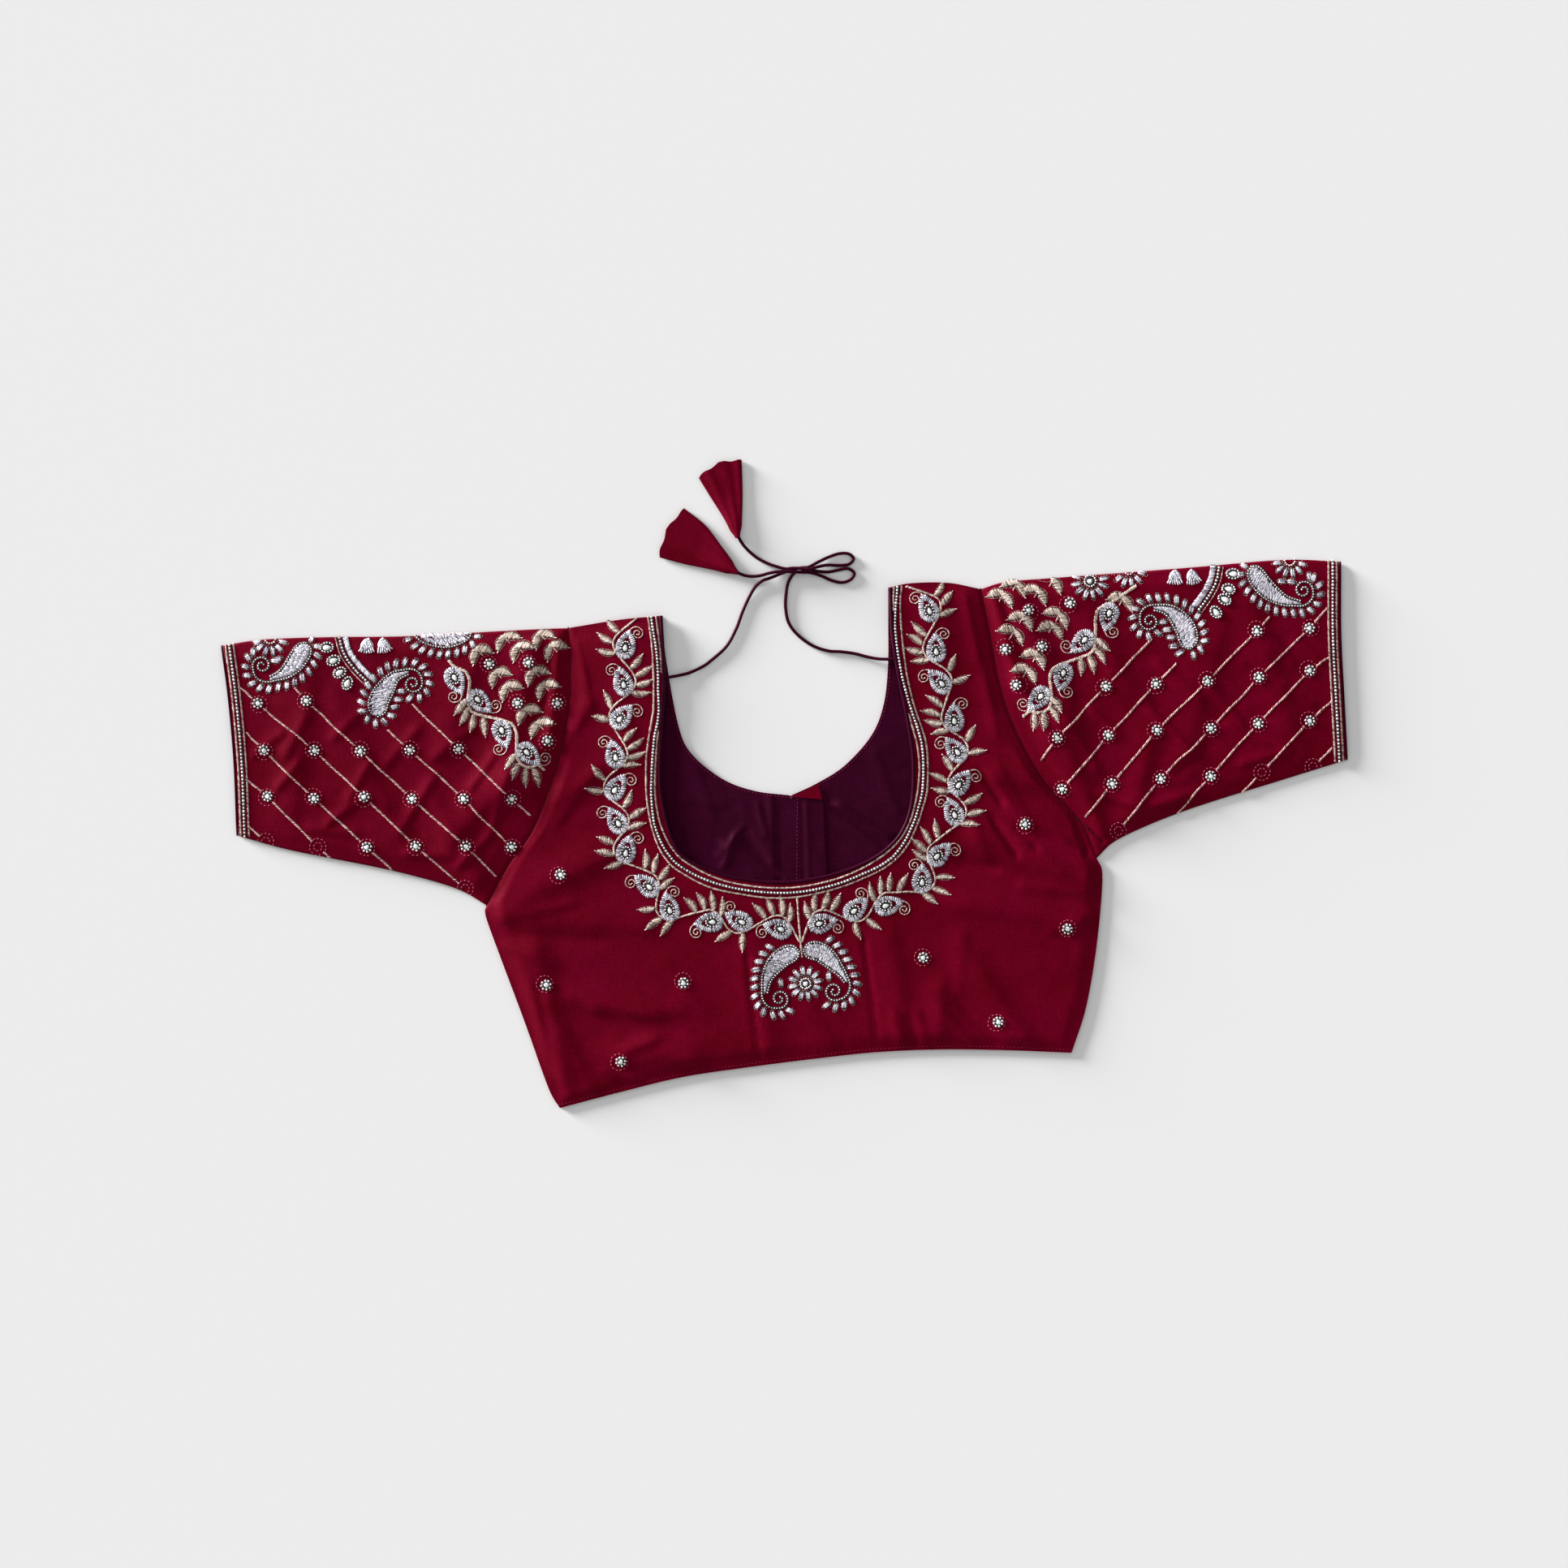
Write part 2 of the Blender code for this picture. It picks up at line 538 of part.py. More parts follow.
def make_sleeve(side, edges, folds):
    """A sleeve as a flattened open tube, with its cuff piping and beaded border."""
    rings, places = sleeve_grid(edges)
    outer, inner = [], []
    for ring, u in zip(rings, places):
        last = len(ring) - 1
        tops = []
        for step, point in enumerate(ring):
            to_fold = min((point - ring[0]).length, (point - ring[-1]).length)
            rolled = ease(to_fold / EDGE_ROLL / 1.4)
            to_armhole = (1 - u) * curve_length([ring[0] for ring in rings])
            puff = BACK_PUFF * rolled * ease(to_armhole / 22) * (0.55 + 0.45 * ease(u * 3))
            lift = fold_height(point.x, point.y, folds) * rolled * ease(to_armhole / 18)
            lift *= ease((u - places[2]) * 9)
            base = SEAM_TOP + ARMHOLE_RISE * math.sin(math.pi * step / last) * (0.5 + 0.5 * u)
            tops.append(base + puff + lift)
        ring_out, ring_in = flat_ring(ring, tops, SLEEVE_WALL)
        outer.append(ring_out)
        inner.append(ring_in)
    tube_wall("sleeve_" + side, outer, inner, cloth)

    upper = len(rings[0])
    lift = Vector((0, 0, LAYER_GAP + BORDER_THICK))
    band = [[outer[1][step] + lift, outer[2][step] + lift] for step in range(1, upper + 1)]
    slab("cuff_border_" + side, band, BORDER_THICK, border)

    away = (outer[0][upper // 2] - outer[1][upper // 2]).normalized()
    away.z = 0
    reach = away * (LAYER_GAP + CUFF_PIPING_DIAMETER / 2)
    middle = []
    for a, b in zip(outer[0], inner[0]):
        spot = a.lerp(b, 0.5) + reach
        spot.z = max(spot.z, CUFF_PIPING_DIAMETER / 2 + LAYER_GAP)
        middle.append(spot)
    tube("cuff_piping_" + side, middle, CUFF_PIPING_DIAMETER, piping, closed=True, roundness=1)


def stem_point(x, angle_at_entry, entry_x):
    """The middle of one strand of the twisted stem at a place along it."""
    t = (x - STEM["x0"]) / (STEM["x1"] - STEM["x0"])
    middle_y = STEM["y0"] + (STEM["y1"] - STEM["y0"]) * t + STEM["bow"] * math.sin(math.pi * t)
    angle = math.radians(angle_at_entry + (x - entry_x) * STEM["turn_per_mm"])
    return Vector((x, middle_y + STEM["radius"] * math.cos(angle),
                   STEM["z"] + STEM["radius"] * math.sin(angle)))


def strand(angle, entry_x, leave_x):
    """Points of a strand from where it joins the stem to where it leaves it."""
    count = max(2, round(abs(leave_x - entry_x) / 4.4))
    return [stem_point(entry_x + (leave_x - entry_x) * step / count, angle, 0)
            for step in range(count + 1)]


def cord_routes():
    """The two whole cords: in along the stem, round a loop, back, and out as a tail."""
    x0, x1, mid = STEM["x0"], STEM["x1"], RIGHT_ENTRY_X
    turn = STEM["turn_per_mm"]
    left = [Vector(row) for row in DORI_LEFT_IN]
    left += strand(STRAND_ANGLE["left_in"] - x0 * turn, x0, x1)
    left += [Vector(row) for row in LOOP_UPPER]
    left += strand(STRAND_ANGLE["left_out"] - mid * turn, x1, mid)
    left += [Vector(row) for row in TAIL_UPPER]
    right = [Vector(row) for row in DORI_RIGHT_IN]
    right += strand(STRAND_ANGLE["right_in"] - mid * turn, mid + 6, x1)
    right += [Vector(row) for row in LOOP_LOWER]
    right += strand(STRAND_ANGLE["right_out"] - x0 * turn, x1, x0)
    right += [Vector(row) for row in TAIL_LOWER]
    return left, right


def make_cords():
    for name, route in zip(("dori_left", "dori_right"), cord_routes()):
        count = round(curve_length(route) / CORD_STEP)
        tube(name, smooth_curve(route, count), DORI_DIAMETER, cord)


def make_tassel(name, edges):
    """A flat open cone of cloth round the end of a cord."""
    left = smooth_curve(edges["left"], TASSEL_ROWS)
    right = smooth_curve(edges["right"], TASSEL_ROWS)
    forward = ((left[-1] + right[-1]) - (left[0] + right[0])).normalized()
    outer, inner = [], []
    for at, (a, b) in enumerate(zip(left, right)):
        t = at / TASSEL_ROWS
        height = TASSEL_NECK_HEIGHT + (TASSEL_END_HEIGHT - TASSEL_NECK_HEIGHT) * ease(t * 1.6)
        middle, half = a.lerp(b, 0.5), (b - a) / 2
        squareness = 1 - 0.45 * ease(t * 1.5)
        for rings, skin in ((outer, 0.0), (inner, TASSEL_WALL)):
            ring = []
            for step in range(TASSEL_SIDES):
                angle = 2 * math.pi * step / TASSEL_SIDES
                across = math.copysign(abs(math.cos(angle)) ** squareness, math.cos(angle))
                up = math.copysign(abs(math.sin(angle)) ** squareness, math.sin(angle))
                spot = middle + half * across * (1 - skin / half.length)
                spot += forward * (1 - across * across) * TASSEL_END_BOW * t
                ring.append(Vector((spot.x, spot.y, height / 2 + up * (height / 2 - skin))))
            rings.append(ring)
    tube_wall(name, outer, inner, cloth)


for old in list(bpy.data.objects):
    bpy.data.objects.remove(old, do_unlink=True)

blouse = bpy.data.collections.new("choli_blouse")
bpy.context.scene.collection.children.link(blouse)
cloth = material("maroon_raw_silk", CLOTH_COLOUR, 0.62)
lining = material("aubergine_cotton_lining", LINING_COLOUR, 0.8)
piping = material("dark_silk_piping", PIPING_COLOUR, 0.55)
border = material("silver_bead_border", BORDER_COLOUR, 0.35, 0.6)
cord = material("twisted_silk_cord", CORD_COLOUR, 0.5)

make_fronts()
make_linings()
make_back()
make_sleeve("left", SLEEVE_LEFT, SLEEVE_FOLDS_LEFT)
make_sleeve("right", SLEEVE_RIGHT, SLEEVE_FOLDS_RIGHT)
make_cords()
make_tassel("tassel_upper", TASSEL_UPPER)
make_tassel("tassel_lower", TASSEL_LOWER)
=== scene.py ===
import bmesh
import bpy
import math
import numpy as np
from mathutils import Matrix, Vector
from mathutils.bvhtree import BVHTree


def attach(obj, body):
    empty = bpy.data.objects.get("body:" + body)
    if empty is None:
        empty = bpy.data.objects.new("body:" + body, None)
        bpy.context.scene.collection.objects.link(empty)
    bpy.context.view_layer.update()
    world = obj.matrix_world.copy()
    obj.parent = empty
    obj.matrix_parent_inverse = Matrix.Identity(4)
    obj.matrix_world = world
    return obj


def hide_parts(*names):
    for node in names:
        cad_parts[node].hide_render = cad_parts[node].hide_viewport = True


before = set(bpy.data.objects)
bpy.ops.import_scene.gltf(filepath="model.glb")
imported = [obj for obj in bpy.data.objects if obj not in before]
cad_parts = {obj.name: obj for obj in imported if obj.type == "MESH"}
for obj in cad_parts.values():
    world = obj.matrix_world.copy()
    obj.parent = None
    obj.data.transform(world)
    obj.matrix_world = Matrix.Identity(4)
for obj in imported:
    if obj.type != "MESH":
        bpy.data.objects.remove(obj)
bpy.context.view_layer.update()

# Lengths are in millimetres on the blouse's own frame, +Y from hem to neck, and become metres
# where a mesh is made.
MM = 0.001

# Cloth layers, from the table upwards
FRONT_WALL = 1.0
LINING_WALL = 1.0
THIN_LINING = 0.7
BACK_WALL = 1.2
SLEEVE_WALL = 1.1
LAYER_GAP = 0.3
SEAM_SHIFT = 0.45
SEAM_TOP = 2.6
CORNER_TOP = 4.3
CORNER_WALL = 0.4
LINING_CLEAR = 0.15
HOOK_STRIP_TOP = 3.85

# The form of the cloth: how far it rises at armholes, neck and middle, and how its edges roll
ARMHOLE_RISE = 0.8
ARMHOLE_RISE_FADE = 40.0
BACK_PUFF = 1.5
NECK_LIFT = 1.8
NECK_LIFT_NEAR = 16.0
NECK_LIFT_FAR = 44.0
BACK_EDGE_ROLL = 14.4
SLEEVE_EDGE_ROLL = 12.6
FOLD_ROUND = 2.2
SEAM_DIP = 0.9
SEAM_DIP_WIDTH = 1.7
SHOULDER_Y = {"left": 170.3, "right": 172.5}

# How much of the tables' creases and of the random unevenness each cloth has
BACK_CREASE_SHARE = 1.15
BACK_UNEVENNESS = 0.24
SLEEVE_CREASE_SHARE = 1.65
SLEEVE_UNEVENNESS = 0.25
LINING_CREASE_SHARE = 1.2
LINING_UNEVENNESS = 0.25

# Creases are steeper on the side away from the window, which lies this way
TO_WINDOW = np.array([-0.84, 0.54])
LIT_WIDTH = 1.35
SHADED_WIDTH = 0.7

# Trims
PIPING_DIAMETER = 3.0
PIPING_REACH = 2.3
CUFF_PIPING_DIAMETER = 1.4
DORI_DIAMETER = 2.4
BORDER_END = 11.0
CUFF_BORDER_END = 8.4
CUFF_BORDER = (1.8, 4.7, 7.8)
LINING_UNDERLAP = 14.0
LINING_LOWEST = (-10.6, -50.3)

# Mesh steps, fine enough for creases of a few millimetres
BACK_STEPS = {"armhole": 72, "side": 48, "hem": 120}
BACK_ROWS = 74
SLEEVE_RINGS = 128
SLEEVE_STEPS = 92

# Edges of the cloth, as part.py cuts them
NECK_BACK = [(-88.2, 170.3), (-91.0, 123), (-98.5, 76), (-101.8, 38), (-95.5, 0), (-80, -16.5),
             (-50, -29.8), (-10, -36.3), (32, -31.4), (64, -17.2), (81, 6), (87.6, 42), (86.6, 76),
             (83.5, 110), (82.3, 140), (84.1, 173.3)]
NECK_FRONT_LEFT = [(-87.0, 170.3), (-86.8, 135), (-83.0, 88), (-75.5, 66.5), (-55, 45.8),
                   (-32, 34.4), (-6.0, 28.3)]
NECK_FRONT_RIGHT = [(81.8, 173.3), (79.4, 150), (75.7, 116.3), (69.5, 88), (58, 66), (36, 46),
                    (14, 35), (-5.4, 28.3)]
SHOULDER_LEFT = [(-88.2, 170.3), (-120, 170.5), (-156.4, 168.4)]
SHOULDER_RIGHT = [(84.1, 173.3), (97.5, 174.9), (126, 172.4), (149.6, 165.2)]
ARMHOLE_LEFT = [(-156.4, 168.4), (-158.3, 140), (-162, 113), (-175, 70), (-197, 24.5),
                (-219, -1.5), (-237.8, -29)]
ARMHOLE_RIGHT = [(149.6, 165.2), (152.2, 140), (155.6, 98), (161.2, 68.7), (172, 38.6),
                 (184, 15), (205, -13), (214.2, -41.2)]
SIDE_LEFT = [(-237.8, -29.6), (-239.2, -37), (-231.5, -68.6), (-218.7, -118), (-206.4, -168),
             (-199.6, -183.6)]
SIDE_RIGHT = [(214.2, -41.8), (216.9, -55.4), (208, -102.7), (195, -149.6), (180.6, -182.5)]
HEM = [(-199.6, -183.6), (-157, -177), (-108, -170.4), (-59, -168.2), (-11, -167.1), (37.5, -167),
       (85, -170), (133, -175.6), (180.6, -182.5)]
CENTRE_FRONT = [(-5.7, 28.3), (-9.8, -36), (-14.5, -167.2)]
PLACKET = {"top": [(-13.8, 25.8), (17.5, 22.5)], "bottom": [(-21.0, -50.0), (13.0, -50.0)]}
SLEEVES = {
    "left": {
        "fold": [(-411.3, 182.4), (-380.6, 183.6), (-331.5, 180.2), (-278.3, 175.2),
                 (-220.7, 172.2), (-176.3, 169.9), (-156.4, 168.4)],
        "underarm": [(-414.6, 41.0), (-376.6, 26.3), (-306.5, 4.4), (-260.2, -13.7),
                     (-237.8, -29)],
        "cuff": [(-411.3, 182.4), (-410.2, 143.3), (-411.0, 95.1), (-414.6, 41.0)],
        "armhole": ARMHOLE_LEFT,
    },
    "right": {
        "fold": [(415.0, 157.8), (373.8, 163.4), (301.6, 165.0), (205.4, 167.8), (169.2, 168.6),
                 (149.6, 165.2)],
        "underarm": [(404.5, 11.2), (356.8, 1.7), (282.8, -13.5), (233.0, -28.7),
                     (214.2, -41.2)],
        "cuff": [(415.0, 157.8), (409.5, 105.3), (406.8, 57.3), (404.5, 11.2)],
        "armhole": ARMHOLE_RIGHT,
    },
}

# Soft folds of the solids: ridges from x0, y0 to x1, y1 with a half width and a height
BACK_FOLDS = [
    (-205, -70, -196, -150, 13, 2.4),
    (-180, -104, -112, -120, 10, 1.6),
    (-150, -150, -104, -156, 12, 2.4),
    (-220, -30, -150, -2, 13, 2.2),
    (-205, -42, -128, -56, 11, 1.4),
    (-45, -92, -40, -165, 12, 1.5),
    (56, -88, 60, -165, 12, 1.5),
    (88, -128, 84, -170, 9, 1.8),
    (120, -120, 148, -172, 11, 2.0),
    (196, -52, 130, -20, 12, 2.2),
    (188, -84, 116, -66, 11, 1.6),
    (168, 20, 128, 34, 11, 1.8),
    (-172, 48, -132, 66, 11, 1.6),
    (-126, 150, -124, 90, 12, 1.2),
    (118, 150, 120, 92, 12, 1.2),
]
SLEEVE_FOLDS = {
    "left": [
        (-186, 150, -214, 62, 11, 2.2),
        (-226, 156, -254, 96, 12, 1.6),
        (-250, 30, -196, 76, 12, 2.4),
        (-300, 36, -330, 120, 13, 1.5),
        (-372, 60, -352, 150, 12, 1.5),
        (-244, -4, -268, 48, 10, 1.6),
    ],
    "right": [
        (176, 148, 206, 66, 11, 2.2),
        (222, 148, 246, 90, 12, 1.6),
        (214, -16, 196, 58, 12, 2.4),
        (286, 24, 316, 106, 13, 1.5),
        (366, 40, 346, 132, 12, 1.5),
        (244, -12, 262, 40, 10, 1.6),
    ],
}
# Creases that only the cloth here has: ridges, and troughs where the height is negative
BACK_CREASES = [
    (-182, -104, -166, -114, 4.5, 0.9), (-166, -114, -123, -124, 4.5, 1.0),
    (-143, -146, -126, -141, 5, 0.9), (-126, -141, -88, -166, 5, 0.8),
    (-162, -160, -142, -171, 3.5, 0.9), (-154, -168, -136, -178, 3, -0.7),
    (-51, -88, -50, -160, 2.2, -0.9), (36, -84, 38, -155, 2.2, -0.9),
    (54, -144, 58, -170, 3.5, 0.9), (63, -146, 67, -171, 3.0, -0.8), (71, -142, 75, -172, 3.5, 0.9),
    (88, -140, 112, -172, 4, 0.8), (100, -136, 124, -168, 3.5, -0.7),
    (150, 30, 166, -8, 5, 0.8), (120, 20, 132, -30, 6, 0.7),
    (-222, -40, -176, -34, 5, 0.9), (-214, -52, -160, -62, 5, -0.7), (-226, -62, -196, -76, 4, 0.8),
    (204, -66, 160, -58, 5, 0.9), (206, -84, 176, -92, 4, 0.7), (198, -50, 170, -30, 4, -0.8),
    (-176, 30, -150, 58, 5, 0.8), (-168, 84, -146, 110, 5, 0.7), (-150, 20, -122, 6, 5, -0.6),
    (-110, -88, -70, -150, 8, 0.6), (110, -90, 96, -150, 7, 0.6), (-6, -130, 4, -164, 8, 0.6),
    (-206, -96, -200, -168, 4, -0.8), (-190, -128, -172, -176, 5, 0.7),
    (-150, 152, -146, 112, 4, 0.6), (138, 156, 142, 116, 4, 0.6), (146, 96, 150, 60, 4, 0.6),
    (135, 28, 147, 8, 2.8, -1.6), (140, -6, 154, -32, 2.6, -1.6), (201, -12, 206, -36, 2.8, -1.5),
    (158, -14, 169, -28, 2.6, -1.2), (198, -30, 206, -36, 3.0, -1.3), (116, -34, 138, -40, 3.5, -0.9),
    (118, -30, 132, -37, 5, -0.8), (146, 22, 160, -8, 6, 0.9), (166, -24, 186, -46, 6, 0.9),
]
SLEEVE_CREASES = {
    "left": [
        (-164, 160, -176, 92, 4.5, 1.1), (-176, 96, -196, 50, 4, 0.9), (-172, 150, -182, 110, 3, -0.8),
        (-210, 66, -226, 30, 4, 0.8), (-232, 20, -252, 4, 4, 0.9), (-268, 66, -292, 36, 4, 0.8),
        (-300, 82, -276, 104, 4, 0.7), (-330, 60, -312, 84, 3.5, 0.7), (-346, 44, -322, 58, 3.5, 0.7),
        (-372, 98, -356, 122, 4, 0.6), (-380, 74, -366, 88, 3.5, 0.7), (-398, 98, -376, 112, 3.5, 0.6),
        (-336, 106, -312, 124, 3.5, 0.6), (-262, 84, -238, 100, 4, 0.7), (-300, 46, -282, 30, 3, -0.6),
        (-238, 60, -222, 78, 3.5, 0.7), (-290, 14, -262, 10, 4, 0.8), (-360, 40, -330, 34, 4, 0.7),
    ],
    "right": [
        (202, -10, 219, -29, 1.7, -1.2), (158, 158, 170, 92, 4.5, 1.1),
        (170, 96, 190, 50, 4, 0.9), (166, 150, 176, 110, 3, -0.8),
        (204, 60, 220, 26, 4, 0.8), (224, 4, 250, -8, 4, 0.9), (266, 62, 290, 32, 4, 0.8),
        (300, 70, 276, 96, 4, 0.7), (330, 48, 312, 72, 3.5, 0.7), (346, 30, 322, 46, 3.5, 0.7),
        (372, 88, 356, 112, 4, 0.6), (384, 58, 366, 72, 3.5, 0.7), (396, 86, 378, 100, 3.5, 0.6),
        (336, 92, 312, 110, 3.5, 0.6), (262, 74, 240, 92, 4, 0.7), (300, 30, 282, 16, 3, -0.6),
        (238, 50, 222, 68, 3.5, 0.7), (290, -2, 262, -8, 4, 0.8), (360, 22, 330, 16, 4, 0.7),
    ],
}
# A fine fold of the right sleeve that runs on from its armhole
UNDERARM_FOLD = [(201.5, -10), (210, -19), (218.5, -28.5)]
# Creases of the dark lining in the neck
LINING_CREASES = [
    (-44, -4, -20, -32, 1.6, -1.2), (-50, 2, -60, -18, 2.0, 1.2), (24, 14, 58, -14, 1.6, -1.3),
    (30, 18, 62, -8, 2.6, 1.2), (-30, 22, -27, 2, 2.5, 0.9), (-20, 30, -24, -20, 3, 0.7),
    (-62, -10, -44, 8, 2.2, 0.7), (-58, -2, -24, -30, 2.6, 0.9), (26, 18, 66, -8, 2.4, 0.9),
    (-84, 34, -58, 26, 4, 0.6), (-40, 18, -26, -6, 4, 0.5), (-74, 60, -66, 20, 5, 0.5),
    (36, 4, 52, -14, 4, 0.5), (60, 50, 70, 12, 5, 0.5), (-34, 2, -22, -22, 3, 0.6),
]

# Small paisleys with the angle of their tip, in degrees from +X. The vine passes on alternate
# sides of them, first on the side that each row names, and has the leaves counted there.
PAISLEY_ROWS = {
    "neck_left": {
        "first": -1, "leaves": (4, 2, 4, 3, 4, 3, 3, 2, 4, 2, 4, 3), "leaf_width": 4.5,
        "start": (-10.6, -80.0), "end": (-104, 171),
        "paisleys": [(-26, -68, 154), (-54, -59.5, 151), (-76, -58.5, 177), (-104, -44, 100),
                     (-118.5, -26, 131), (-130.5, 1.5, 73), (-135.5, 23.5, 111), (-133, 48, 55),
                     (-131.5, 72.5, 93), (-123.5, 99.5, 47), (-120, 125, 94), (-115, 152, 74)],
    },
    "neck_right": {
        "first": 1, "leaves": (4, 2, 4, 3, 4, 3, 3, 2, 4, 2, 4, 3), "leaf_width": 4.5,
        "start": (-8.9, -80.0), "end": (95, 173),
        "paisleys": [(8, -67.5, 11), (34, -60, 33), (58, -59.5, 13), (84.5, -43, 78),
                     (99, -26, 42), (112.5, 4, 102), (120, 25, 50), (118.5, 49.5, 118),
                     (120, 73, 89), (112, 101, 124), (112, 125.5, 90), (109.5, 155.5, 103)],
    },
    "sleeve_left": {
        "first": 1, "leaves": (0, 4, 0, 4), "leaf_width": 5.3,
        "start": (-246.5, 153.5), "end": (-185.5, 65.4),
        "paisleys": [(-242.5, 138, -68), (-226.5, 120.5, -54), (-212, 95.5, -75),
                      (-194.5, 78, -53)],
    },
    "sleeve_right": {
        "first": -1, "leaves": (0, 4, 0, 4), "leaf_width": 5.3,
        "start": (264, 156), "end": (170.5, 68.5),
        "paisleys": [(240.8, 134.8, -114), (219.7, 117.8, -139), (202.5, 94.3, -114),
                     (183.3, 79.5, -134)],
    },
}
# The neck border's three lines, at shares of the neck edge: distance in from it of the inner
# gold line (0 where the edge rolls over it), the beads and the outer gold line
NECK_BORDER = [
    (0.0, 2.8, 6.2, 8.7), (0.02, 1.9, 5.3, 7.9), (0.035, 1.4, 4.3, 7.0), (0.052, 1.0, 3.7, 6.4),
    (0.075, 0.9, 3.2, 6.8), (0.1, 0, 3.1, 6.7), (0.13, 0, 1.5, 5.6), (0.145, 0, 1.8, 6.3),
    (0.165, 1.4, 3.6, 7.4), (0.19, 2.0, 4.4, 8.8), (0.22, 2.6, 5.0, 9.0), (0.255, 3.8, 6.9, 10.4),
    (0.28, 4.0, 8.2, 10.8), (0.3, 3.0, 7.6, 10.4), (0.325, 1.4, 6.2, 9.6), (0.343, 1.2, 6.0, 9.8),
    (0.36, 1.8, 6.4, 10.2), (0.4, 3.0, 6.6, 10.4), (0.45, 3.2, 6.8, 10.4), (0.5, 3.2, 7.0, 10.4),
    (0.55, 2.8, 6.6, 9.8), (0.585, 1.9, 5.8, 9.0), (0.61, 1.2, 6.4, 9.2), (0.63, 1.0, 6.4, 8.8),
    (0.65, 1.0, 4.9, 8.0), (0.67, 1.0, 3.9, 7.2), (0.7, 1.4, 4.5, 7.6), (0.72, 2.4, 6.0, 9.0),
    (0.75, 3.5, 6.4, 10.0), (0.786, 3.0, 6.5, 9.4), (0.81, 1.6, 5.0, 7.9), (0.824, 0.9, 3.6, 6.8),
    (0.84, 0, 2.5, 5.7), (0.86, 0, 1.8, 5.1), (0.88, 0, 1.3, 4.8), (0.92, 0, 1.2, 5.4),
    (0.95, 0, 1.5, 5.8), (0.973, 1.0, 2.6, 6.0), (0.986, 1.2, 3.6, 6.6), (1.0, 1.9, 4.5, 8.0),
]
# Large paisleys: axis from the round head to the tail, the head's half width, the middle of the
# spiral that ends the tail, the share of the outline where the bars start, and at most how many
COMMAS = {
    "neck": [
        ([(-12.6, -86.8), (-22.1, -89.0), (-28.8, -93.2), (-34.2, -99), (-37.8, -105),
          (-40.2, -114)], 5.0, (-29.8, -120.1), 0.66, 12),
        ([(-7.4, -86.9), (2.4, -88.3), (8.8, -93.7), (13.5, -99.7), (17.7, -105.7), (20.8, -112)],
         5.0, (11.0, -118.8), 0.66, 12),
    ],
    "left": [
        ([(-351, 177), (-353.5, 171), (-360, 163), (-368, 157), (-378, 154)], 5.1,
         (-384, 164.5), 0.46, 40),
        ([(-302.5, 119), (-301, 129), (-294, 139), (-287, 146), (-278, 148.5)], 5.6,
         (-274.5, 139.5), 0.0, 40),
        ([(-229, 177), (-239, 172.5), (-250.5, 171), (-262, 172.5), (-270, 178)], 6.4,
         (-262, 186), 0.46, 40),
    ],
    "right": [
        ([(351, 160), (354.5, 150.5), (361.5, 141), (371.5, 133.5), (382.5, 130)], 5.1,
         (386.5, 139.5), 0.46, 40),
        ([(298, 106), (297.5, 118), (292, 129), (285, 135.5), (276, 138)], 5.6,
         (271, 128.5), 0.0, 40),
    ],
}
# Bars stand this far from the line, this far from each other and this clear of the line's bends
BAR_OFF = 5.2
BARS_APART = 6.3
BARS_CLEAR = 4.6
# Stones ringed by bars, with their reach, and bars that stand alone, with their turn
FLOWERS = {"neck": [(-9.5, -111, 13)], "left": [(-376, 184, 14)],
           "right": [(379, 162.5, 13.5), (230.5, 162.5, 14.3), (260, 168.5, 14.3)]}
LONE_BARS = {"neck": [(-27.6, -108.6, 96), (8.2, -107.5, 84)],
             "left": [(-371.5, 168, 12), (-389.5, 175, 84), (-385.5, 181.5, 40)],
             "right": [(371.5, 147.5, 170), (392, 149, 96)]}
# A band of satin with a line of beads, four drops beside it and a pair of small fans
ARCS = {"left": [(-321, 180), (-319.3, 170), (-316.5, 163.5), (-311, 155), (-304, 146.5)],
        "right": [(322.5, 164.5), (319, 154), (313, 145), (305, 136)]}
DROPS = {"left": [(-335, 172.7, 0), (-331, 162.5, 15), (-327.5, 153.3, 28), (-322.5, 144.8, 60)],
         "right": [(336, 156.8, 172), (331.5, 146, 160), (327.8, 138.6, 145),
                   (320.4, 130, 120)]}
FANS = {"left": [(-304.5, 177.5, -98), (-294.0, 176.5, -82)],
        "right": [(294.3, 165.5, -98), (305.3, 164.3, -82)]}
